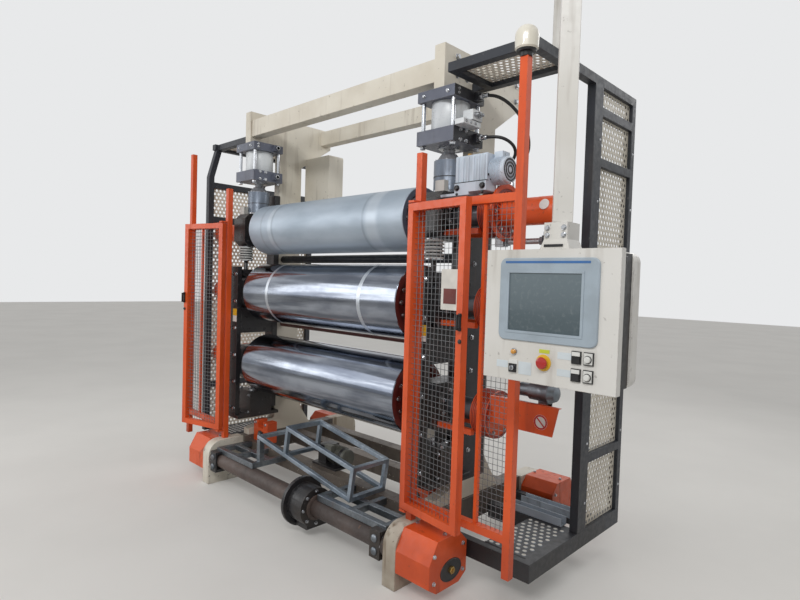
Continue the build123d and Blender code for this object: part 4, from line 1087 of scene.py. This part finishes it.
def pressFittings():
    shape = Shape()
    look = pressLook
    corner, face = look["corner"], look["face"]
    rodLow, rodHigh, rodRadius = look["rods"]
    portX, portY, portHeights = look["ports"]
    for end in ends:
        for dx, dy in product((-corner, corner), repeat=2):
            shape.use(1).rod(spot(end + dx, dy, rodLow), upward, rodHigh - rodLow, rodRadius, 16, 0.0001)
            shape.use(0).bolt(spot(end + dx, dy, look["low"]), downward, look["nut"])
        shape.lathe(spot(end, 0, look["low"]), downward, collar(0.036, 0.062, 0.010, 0.014, 0.056), 36)
        for heights, across, size in (look["lowBolts"], look["highBolts"]):
            for z, dy in product(heights, across):
                shape.bolt(spot(end + face, dy, z), nearward, size)
        across, z, size = look["frontBolts"]
        for dx in across:
            shape.bolt(spot(end + dx, -face, z), frontward, size)
        for z in portHeights:
            port = spot(end + portX, portY, z)
            shape.lathe(port, nearward, portNut, 6)
            if end > 0:
                shape.lathe(port, nearward, portCrimp, 24)
    for name in ("upper", "lower"):
        seat = spot(*hoseLook[name][-1])
        shape.lathe(seat, upward, seatNut, 6)
        shape.lathe(seat, upward, seatCrimp, 24)
    shape.piece("pressFittings", "frame", ["chrome", "rod"], split=40)
    block = Shape()
    for low, high in (look["manifold"], look["manifoldFoot"]):
        block.block(spot(*low), spot(*high))
    block.use(1)
    x, across, z = look["stems"]
    for y in across:
        block.lathe(spot(x, y, z), nearward, valveStem, 20)
    x, across, z = look["screws"]
    for y in across:
        block.bolt(spot(x, y, z), nearward, 0.013)
    block.piece("pressManifold", "frame", ["paleGrey", "chrome"], soften=0.002)


pressFittings()

bellowsLook = {"y": -0.105, "low": 1.750, "high": 1.865, "folds": 6, "outer": 0.057, "inner": 0.0455}


def makeBellows():
    # folded bellows over the nip screws, clamped at both ends, with dark painted shade in the grooves between
    # the folds
    shape = Shape()
    look = bellowsLook
    inner, outer = look["inner"], look["outer"]
    step = (look["high"] - look["low"]) / look["folds"] / 2
    profile = [(0, inner)]
    for i in range(look["folds"]):
        base = 2 * i * step
        # the bands that run down into each groove take the dark finish: painted shade in the folds
        profile += [(base + step * 0.3, inner, 2), (base + step * 0.8, outer, 0),
                    (base + step * 1.4, outer, 0), (base + step * 2, inner, 2)]
    for end in ends:
        shape.use(0).lathe(spot(end, look["y"], look["low"]), upward, profile, 40)
        for z in (look["low"], look["high"] - 0.006):
            shape.use(1).lathe(spot(end, look["y"], z), upward, sleeve(0.046, 0.0525, 0.006, 0.006), 40)
    shape.piece("stopBellows", "top_carriage", ["folds", "chrome", "rubber"], split=70)


makeBellows()

# bolts of the keeper bars, lift cylinders, side frames, tie tube, cradles and rod couplings

boltLook = {
    "keepers": {"low": 0.570, "high": 1.640, "count": 6, "spread": 0.030, "y": -0.205, "size": 0.024},
    "liftTop": {"reach": 0.078, "z": 0.700, "size": 0.028},
    "liftFront": {"reach": 0.075, "y": -0.100, "heights": (0.530, 0.665), "size": 0.020},
    "plate": 1.0375,  # outer face of the side frames
    "head": {"y": (0.0, 0.09, 0.60), "heights": (2.79, 2.89), "size": 0.030},
    "upright": {"y": 0.22, "heights": (0.62, 0.72, 1.10, 1.30, 1.52, 1.74, 2.30), "size": 0.024},
    "tube": (0.945, -0.338, 0.195),
    "cradles": {"x": (0.78, 0.92), "y": -0.030, "z": 0.440, "size": 0.020},
}


def frameBolts():
    shape = Shape()
    keepers, top, front = boltLook["keepers"], boltLook["liftTop"], boltLook["liftFront"]
    head, upright, cradles = boltLook["head"], boltLook["upright"], boltLook["cradles"]
    plate = boltLook["plate"]
    gap = (keepers["high"] - keepers["low"]) / (keepers["count"] - 1)
    for end in ends:
        for i, dx in product(range(keepers["count"]), (-keepers["spread"], keepers["spread"])):
            shape.bolt(spot(end + dx, keepers["y"], keepers["low"] + i * gap), frontward, keepers["size"])
        for dx, dy in product((-top["reach"], top["reach"]), repeat=2):
            shape.bolt(spot(end + dx, dy, top["z"]), upward, top["size"])
        for dx, z in product((-front["reach"], front["reach"]), front["heights"]):
            shape.bolt(spot(end + dx, front["y"], z), frontward, front["size"])
        shape.lathe(spot(end, 0, top["z"]), upward, collar(0.0335, 0.052, 0.008, 0.012, 0.048), 36)
        for y, z in product(head["y"], head["heights"]):
            shape.bolt(spot(end * plate, y, z), (end, 0, 0), head["size"])
        for z in upright["heights"]:
            shape.bolt(spot(end * plate, upright["y"], z), (end, 0, 0), upright["size"])
        x, y, z = boltLook["tube"]
        shape.ring(spot(end * x, y, z), (-end, 0, 0), 8, 0.0635, 0.013)
        for x in cradles["x"]:
            shape.bolt(spot(end * x, cradles["y"], cradles["z"]), frontward, cradles["size"])
    shape.piece("frameBolts", "frame", ["chrome"])


couplingLook = {"bolts": 2.310, "collar": 2.127, "groove": 2.215}


def couplingBolts():
    shape = Shape()
    look = couplingLook
    for end in ends:
        shape.use(0).ring(spot(end, 0, look["bolts"]), upward, 6, 0.079, 0.010)
        shape.lathe(spot(end, 0, look["collar"]), upward, collar(0.0855, 0.092, 0.012, 0.014, 0.090), 40)
        shape.use(1).lathe(spot(end, 0, look["groove"]), upward, sleeve(0.0852, 0.0866, 0.004, 0.004), 40)
    shape.piece("couplingBolts", "top_carriage", ["chrome", "blackPlastic"])


frameBolts()
couplingBolts()

# fan cover, ribs and plate bolts of the nip gearbox, with painted shade in its fan slots and in the gap at
# its lower plate, and the fins and bolts of the travel drive

gearboxLook = {
    "fan": (1.470, -0.105, 2.194),
    "fins": 7,
    "finAt": 1.402,
    "finStep": 0.009,
    # dark rings of painted shade where the fan cover's slots open into it
    "slots": 3,
    "box": ((1.405, -0.135, 2.249), (1.455, -0.075, 2.286)),
    # a thin dark strip of painted shade in the gap between the gearbox and its lower plate
    "plate": ((1.196, -0.1915, 2.1395), (1.397, -0.170, 2.1425)),
    "footBolts": ((1.216, 1.377), -0.190, ((2.115, 0.026), (2.083, 0.012))),
    "faceBolts": (1.396, -0.150, 2.170),
    "plugs": (-0.140, 2.278),
}
fanRings = tuple((0.009 if i % 2 else 0.012, 0.058 - 0.004 * i) for i in range(9))
fanCover = ((0, 0.066), (0.004, 0.067), (0.010, 0.064), *fanRings, (0.010, 0.016), (0.013, 0.012), (0.013, 0))


def gearboxFittings():
    shape = Shape()
    look = gearboxLook
    x, y, z = look["fan"]
    shape.lathe(spot(x, y, z), nearward, fanCover, 48)
    for i in range(look["fins"]):
        place = look["finAt"] + i * look["finStep"]
        shape.lathe(spot(place, y, z), nearward, fin(0.0655, 0.0705, 0.004), 48)
    # the grey box, then the dark strip that paints the shade in the gap under it
    for finish, name in enumerate(("box", "plate")):
        low, high = look[name]
        shape.use(finish).block(spot(*low), spot(*high))
    # the slots of the fan cover, as dark rings of painted shade
    for i in range(look["slots"]):
        outer = 0.056 - 0.016 * i
        slot = ((0, outer), (0.003, outer - 0.001), (0.003, outer - 0.007), (0, outer - 0.008))
        shape.lathe(spot(x + 0.0105, y, z), nearward, slot, 40)
    places, front, bolts = look["footBolts"]
    for boltX, (height, size) in product(places, bolts):
        shape.bolt(spot(boltX, front, height), frontward, size)
    shape.ring(spot(*look["faceBolts"]), nearward, 4, 0.020, 0.010)
    shape.use(2).rod(spot(1.255, *look["plugs"]), upward, 0.018, 0.012, 20)
    shape.rod(spot(1.330, *look["plugs"]), upward, 0.012, 0.009, 6)
    used = ["gearGrey", "blackPlastic", "brass"]
    shape.piece("gearboxFittings", "frame", used, soften=0.001)


travelLook = {
    "tube": (-0.338, 0.195),
    "disc": (0.140, 10, 0.138, 0.016),  # place, bolts, their circle and size
    "drum": (0.300, 8, 0.100, 0.018),
    "motor": (0.078, 0.370),
    "motorEnd": 0.090,
    "box": ((-0.040, -0.012, 0.395), (0.030, 0.022, 0.452)),
    "fins": 12,
    "finAt": -0.050,
    "finStep": 0.010,
}
motorCap = ((0, 0.0605), (0.022, 0.058), (0.026, 0.050), (0.024, 0.030), (0.026, 0))


def travelFittings():
    shape = Shape()
    look = travelLook
    for i in range(look["fins"]):
        place = look["finAt"] + i * look["finStep"]
        shape.lathe(spot(place, *look["motor"]), nearward, fin(0.0605, 0.066, 0.005), 40)
    shape.lathe(spot(look["motorEnd"], *look["motor"]), nearward, motorCap, 40)
    low, high = look["box"]
    shape.block(spot(*low), spot(*high))
    shape.use(1)
    for side, out in (("disc", -1), ("drum", 1)):
        x, count, radius, size = look[side]
        shape.ring(spot(x, *look["tube"]), (out, 0, 0), count, radius, size)
    shape.use(2)
    hub = collar(0.057, 0.078, 0.010, 0.012, 0.074)
    for side, out in (("drum", 1), ("disc", -1)):
        shape.lathe(spot(look[side][0], *look["tube"]), (out, 0, 0), hub, 40)
    shape.piece("travelFittings", "frame", ["motorGrey", "chrome", "brown"], soften=0.0008)


gearboxFittings()
travelFittings()

# journal guards at the operator's end: ribs and hub ring of the drum, shaft cover, pipe and union

guardLook = {
    "drumEnd": 1.400,
    "coverEnd": 1.700,
    "ribs": 9,
    "ribAt": 1.306,
    "ribStep": 0.010,
    "spokes": ((-0.0005, 0.074, -0.004), (0.0045, 0.112, 0.004), 24),
    "sticker": (1.655, -0.0662, 0.020, 0.026),  # place above the roll's axis and radius
    "elbow": (1.650, -0.125),
    "pipe": ((1.400, 1), (1.625, -1), -0.150),  # both ends with the way they face, and the height
    "union": 1.420,
    "unionNut": 1.600,
    "filter": (1.520, 0.002, 0.160),
    "filterFoot": ((1.640, -0.024, 0.095), (1.690, 0.026, 0.130)),
}
drumFlange = ((0, 0.1245), (-0.004, 0.150), (0.002, 0.153), (0.006, 0.150), (0.006, 0.126), (0.002, 0.1245))
coverCap = ((0, 0.0705), (0.003, 0.0705), (0.005, 0.068), (0.0052, 0.054), (0.003, 0.052), (0.003, 0))
unionBody = ((0, 0.035), (0, 0.046), (0.020, 0.046), (0.022, 0.040), (0.060, 0.040), (0.062, 0.046),
             (0.084, 0.046), (0.086, 0.035))
filterBowl = ((0, 0), (0, 0.030), (0.006, 0.034), (0.060, 0.034), (0.066, 0.044), (0.150, 0.046),
              (0.162, 0.052), (0.176, 0.052), (0.186, 0.044), (0.205, 0.036), (0.214, 0.020), (0.216, 0))


def guardDetails(name, body):
    height = rollHeights[name]
    covered = name != "bottom"  # the bottom shaft has an open shield instead
    look = guardLook
    shape = Shape()
    for i in range(look["ribs"]):
        place = look["ribAt"] + i * look["ribStep"]
        shape.lathe(spot(place, 0, height), nearward, fin(0.1248, 0.1275, 0.006), 64)
    face = spot(look["drumEnd"], 0, height)
    shape.lathe(face, nearward, seal(0.124, 0.003, 0.004, 0.121, 0.112), 64)
    if covered:
        shape.use(4).lathe(face, nearward, drumFlange, 64)
        shape.use(0)
        low, high, count = look["spokes"]
        for i in range(count):
            turn = Matrix.Translation(face) @ Matrix.Rotation(2 * math.pi * i / count, 4, "X")
            shape.block(low, high, turn)
    shape.use(1).ring(face, nearward, 6, 0.100, 0.016)
    if covered:
        shape.use(0).lathe(spot(look["coverEnd"], 0, height), nearward, coverCap, 48)
        x, y, z, wide = look["sticker"]
        sticker = ((0, wide), (0.0034, wide), (0.0044, wide * 0.7), (0.0048, 0))
        shape.use(2).lathe(spot(x, y, height + z), (0, -1, 0.28), sticker, 32)
        x, z = look["elbow"]
        shape.use(3).lathe(spot(x, 0, height + z), upward, sleeve(0.0245, 0.031, 0.018, 0.020), 6)
        *pipe, z = look["pipe"]
        for x, out in pipe:
            shape.lathe(spot(x, 0, height + z), (out, 0, 0), sleeve(0.016, 0.023, 0.020, 0.022), 6)
    else:
        above = Vector((0, 0, height))
        shape.use(3).lathe(spot(look["union"], 0, height), nearward, unionBody, 40)
        shape.lathe(spot(look["unionNut"], 0, height), nearward, sleeve(0.035, 0.042, 0.026, 0.028), 8)
        shape.lathe(spot(*look["filter"]) + above, nearward, filterBowl, 48)
        low, high = look["filterFoot"]
        shape.block(spot(*low) + above, spot(*high) + above)
    used = ["guardRed", "chrome", "whitePlastic", "steel", "orange"]
    shape.piece(f"{name}GuardDetails", body, used)


guardDetails("top", "top_carriage")
guardDetails("mid", "frame")
guardDetails("bottom", "bottom_carriage")
print("bolts and fittings made")

# base: wheel covers with the sight hole of the near one, its dark inside painted as shade, cradle hubs and
# the clamps of the tie tube

coverLook = {"face": 1.300, "hole": (-0.240, 0.152), "reach": (0.080, 0.054), "boltSize": 0.018,
             "spans": ((-0.41, -0.11), (0.80, 1.10)), "inset": 0.035, "heights": (0.125, 0.262),
             "topBolts": (1.08, 1.27), "top": 0.330}
cradleHub = {"x": 0.85, "y": -0.030, "z": 0.345, "rise": 0.006}
hexShaft = ((0, 0.020), (0.012, 0.020), (0.014, 0.017), (0.014, 0.009), (0.020, 0.009), (0.020, 0))


def baseDetails():
    shape = Shape()
    look = coverLook
    for end in ends:
        x = end * look["face"]
        for low, high in look["spans"]:
            if end > 0 and low < 0:
                y, z = look["hole"]
                rim = ((0, 0.004), (0.003, 0.003), (0.002, -0.002), (0.0006, -0.004))
                # the black oval is painted shade inside the sight hole
                shape.use(0).oval(spot(x, y, z), look["reach"], rim)
                shape.use(1).lathe(spot(x + 0.001, y, z), (end, 0, 0), hexShaft, 6)
            shape.use(2)
            for y, z in product((low + look["inset"], high - look["inset"]), look["heights"]):
                shape.bolt(spot(x, y, z), (end, 0, 0), look["boltSize"])
            for place in look["topBolts"]:
                shape.bolt(spot(end * place, (low + high) / 2, look["top"]), upward, look["boltSize"])
        x, y, z = end * cradleHub["x"], cradleHub["y"], cradleHub["z"]
        shape.use(0).lathe(spot(x, y, z), frontward, cap(0.036, 0.004, cradleHub["rise"], 0.033), 32)
        shape.use(3).lathe(spot(x, y - cradleHub["rise"], z), frontward, cap(0.022, 0.008, 0.010, 0.019), 32)
    shape.piece("baseDetails", "frame", ["blackPlastic", "brass", "chrome", "steel"])


clampLook = {
    "x": (0.862, 0.944),
    "bolt": 0.903,
    "boltZ": (0.160, 0.230),
    "front": -0.408,
    "blocks": (  # front, back, low, high
        (-0.408, -0.3935, 0.118, 0.272), (-0.394, -0.300, 0.118, 0.139), (-0.394, -0.300, 0.251, 0.272)),
}
boltDome = ((0, 0.022), (0.006, 0.021), (0.012, 0.015), (0.014, 0.008), (0.014, 0))


def tubeClamps():
    shape = Shape()
    look = clampLook
    for end in ends:
        left, right = sorted(end * x for x in look["x"])
        shape.use(0)
        for front, back, low, high in look["blocks"]:
            shape.block(spot(left, front, low), spot(right, back, high))
        for z in look["boltZ"]:
            shape.use(1).lathe(spot(end * look["bolt"], look["front"], z), frontward, boltDome, 24)
    shape.piece("tubeClamps", "frame", ["oily", "steel"], soften=0.002)


baseDetails()
tubeClamps()

channelLook = {"x": (1.190, 1.545), "rows": (0.455, 0.600), "width": 0.060, "height": 0.045, "wall": 0.004,
               "top": 0.2455, "inset": 0.05, "bolt": 0.020}


def makeChannels():
    # light channels lying on the near platform, open side up
    shape = Shape()
    look = channelLook
    start, stop = look["x"]
    wide, wall, low = look["width"], look["wall"], look["top"]
    for y in look["rows"]:
        shape.use(0).block(spot(start, y, low), spot(stop, y + wide, low + wall))
        shape.block(spot(start, y, low + wall), spot(stop, y + wall, low + look["height"]))
        shape.block(spot(start, y + wide - wall, low + wall), spot(stop, y + wide, low + look["height"]))
        for x in (start + look["inset"], stop - look["inset"]):
            shape.use(1).bolt(spot(x, y + wide / 2, low + wall), upward, look["bolt"])
    shape.piece("platformChannels", "frame", ["gearGrey", "chrome"], soften=0.001)


treadLook = {"x": (1.350, 1.600), "y": (-0.016, 0.440), "top": 0.245, "pitch": 0.040, "hole": 0.014,
             "rise": 0.0025, "floor": 0.0008, "lip": 0.013, "lipDrop": 0.010}


def makeTreads():
    # raised rims of the punched holes, each closed by a pale disc of painted light, and a rolled lip at the
    # front edge
    shape = Shape()
    look = treadLook
    pitch, hole, rise, floor = look["pitch"], look["hole"], look["rise"], look["floor"]
    left, right = look["x"]
    front, back = look["y"]
    # the pale disc at the foot of each rim is painted light, standing for the light seen through the hole
    rim = ((0, hole), (rise, hole * 0.85, 0), (rise, hole * 0.80, 0), (floor, hole * 0.74, 1), (floor, 0, 1))
    for end in ends:
        for row in range(int((back - front) / pitch)):
            for column in range(int((right - left) / pitch) - row % 2):
                x = left + pitch * (column + 0.6 + 0.5 * (row % 2))
                y = front + pitch * (row + 0.6)
                shape.use(0).lathe(spot(end * x, y, look["top"]), upward, rim, 12)
        start = spot(end * left, front, look["top"] - look["lipDrop"])
        shape.use(2).rod(start, (end, 0, 0), right - left, look["lip"], 20)
    shape.piece("treadHoles", "frame", ["steel", "paleHole", "black"], split=60)


makeChannels()
makeTreads()
print("base details made")

# bare signs and labels, door handles and the paper tag

signLook = {
    "centre": (1.697, -0.095, 0.971),
    "radius": 0.036,
    "rise": 0.0012,
    "bar": (0.029, 0.0035),
    "labels": (  # left, right, low, where the colour changes, high
        (-1.010, -0.952, 1.262, 1.310, 1.365), (1.000, 1.048, 1.300, 1.330, 1.390)),
    "labelFront": -0.2062,
    "labelBack": -0.205,
}


def makeSigns():
    # ring and bar on the bottom shield, and two-coloured labels on the keeper bars
    sign = Shape()
    centre = spot(*signLook["centre"])
    radius, rise = signLook["radius"], signLook["rise"]
    half, tall = signLook["bar"]
    ring = ((0, 0.035), (0.0005, 0.035), (0.0005, 0.027), (0, 0.027))
    sign.lathe(centre, frontward, ((0, radius), (rise, radius), (rise, 0)), 40)
    sign.use(1).lathe(centre + Vector((0, -rise, 0)), frontward, ring, 40)
    turn = Matrix.Translation(centre + Vector((0, -0.0014, 0))) @ Matrix.Rotation(math.radians(45), 4, "Y")
    sign.block((-half, -0.0006, -tall), (half, 0, tall), turn)
    sign.piece("shieldSign", "bottom_carriage", ["whitePlastic", "signRed"])
    labels = Shape()
    front, back = signLook["labelFront"], signLook["labelBack"]
    for left, right, low, change, high in signLook["labels"]:
        labels.use(0).block(spot(left, front, low), spot(right, back, change))
        labels.use(1).block(spot(left, front, change + 0.001), spot(right, back, high))
    labels.piece("keeperLabels", "frame", ["whitePlastic", "yellowPlastic"])


handleLook = {  # blocks of the handle along the leaf, out of its front and up
    "blocks": (
        ((0.388, 0.020, 1.395), (0.402, 0.032, 1.480)),
        ((0.386, 0.020, 1.400), (0.404, 0.045, 1.412)),
        ((0.386, 0.020, 1.463), (0.404, 0.045, 1.475)),
        ((0.390, 0.040, 1.400), (0.400, 0.050, 1.475)),
    ),
    "lock": (0.395, 0.020, 1.345),
    "tag": ((0.240, 0.006, 1.490), (0.365, 0.0072, 1.690)),
    "swatch": ((0.258, 0.0070, 1.520), (0.347, 0.0076, 1.595)),
}


def doorFurniture(name):
    shape = Shape()
    hinge, along, out = doorAxes(name)
    turn = Matrix((along, out, Vector(upward))).transposed().to_4x4()
    turn = Matrix.Translation((hinge.x, hinge.y, 0)) @ turn
    for low, high in handleLook["blocks"]:
        shape.block(low, high, turn)
    shape.lathe(turn @ Vector(handleLook["lock"]), out, cap(0.011, 0.005, 0.006, 0.009), 20)
    shape.piece(f"{name}DoorHandle", f"{name}_door", ["blackPlastic"], soften=0.0015)
    if name == "near":
        tag = Shape()
        tag.block(*handleLook["tag"], turn)
        tag.use(1).block(*handleLook["swatch"], turn)
        tag.piece("doorTag", "near_door", ["paper", "maroon"])


makeSigns()
doorFurniture("near")
doorFurniture("far")

screwLook = {"y": (0.515, 0.970), "low": 0.40, "high": 2.70, "step": 0.34, "faces": ((1.650, 1), (1.600, -1))}
screwHead = ((0, 0.008), (0.0024, 0.0064), (0.004, 0.0032), (0.004, 0))


def enclosureScrews():
    # screws on both faces of the near enclosure's posts
    shape = Shape()
    for y in screwLook["y"]:
        z = screwLook["low"]
        while z < screwLook["high"]:
            for x, out in screwLook["faces"]:
                shape.lathe(spot(x, y, z), (out, 0, 0), screwHead, 14)
            z += screwLook["step"]
    shape.piece("enclosureScrews", "frame", ["chrome"])


enclosureScrews()
print("door furniture, signs and screws made")

# finishes of the CAD nodes that stay as they are

nodeFinishes = {
    "cream": ("cross_beams", "rear_cabinet"),
    "wheelCream": ("wheel_housings",),
    "baseBrown": ("base_frame",),
    "coverOrange": ("wheel_covers",),
    "frameCream": ("side_frames",),
    "boomGrey": ("console_boom",),
    "consoleCream": ("console_case",),
    "black": ("platforms", "enclosure_frame_near", "enclosure_frame_far"),
    "shafts": ("cross_shafts",),
    "oily": ("slide_ways", "keeper_bars", "mid_bearings", "bottom_bearings", "lift_cylinders",
             "travel_drive"),
    "carriage": ("top_bearings",),
    "orange": ("cage_frame_near", "cage_frame_far", "door_frame_near", "door_frame_far", "roll_cradles"),
    "guards": ("top_roll_guards", "mid_roll_guards"),
    "shield": ("bottom_roll_guards",),
    "blocks": ("press_cylinders",),
    "paleGrey": ("press_barrels",),
    "gearGrey": ("nip_gearbox",),
    "brown": ("tie_tube",),
    "steel": ("base_ladders",),
    "rackSteel": ("steel_rack",),
}
softEdges = {"width": 0.003, "angle": 30, "weld": 0.00002, "flat": 0.5}


def dressNode(name, finish):
    # its finish, with facets of one face joined and the edges a little rounded
    made = nodes[name]
    made.data.materials.clear()
    made.data.materials.append(finishes[finish])
    weld = made.modifiers.new("weld", "WELD")
    weld.merge_threshold = softEdges["weld"]
    flat = made.modifiers.new("flat", "DECIMATE")
    flat.decimate_type = "DISSOLVE"
    flat.angle_limit = math.radians(softEdges["flat"])
    roundEdges(made, softEdges["width"], softEdges["angle"])


for finish, names in nodeFinishes.items():
    for name in names:
        dressNode(name, finish)
print("CAD nodes dressed")
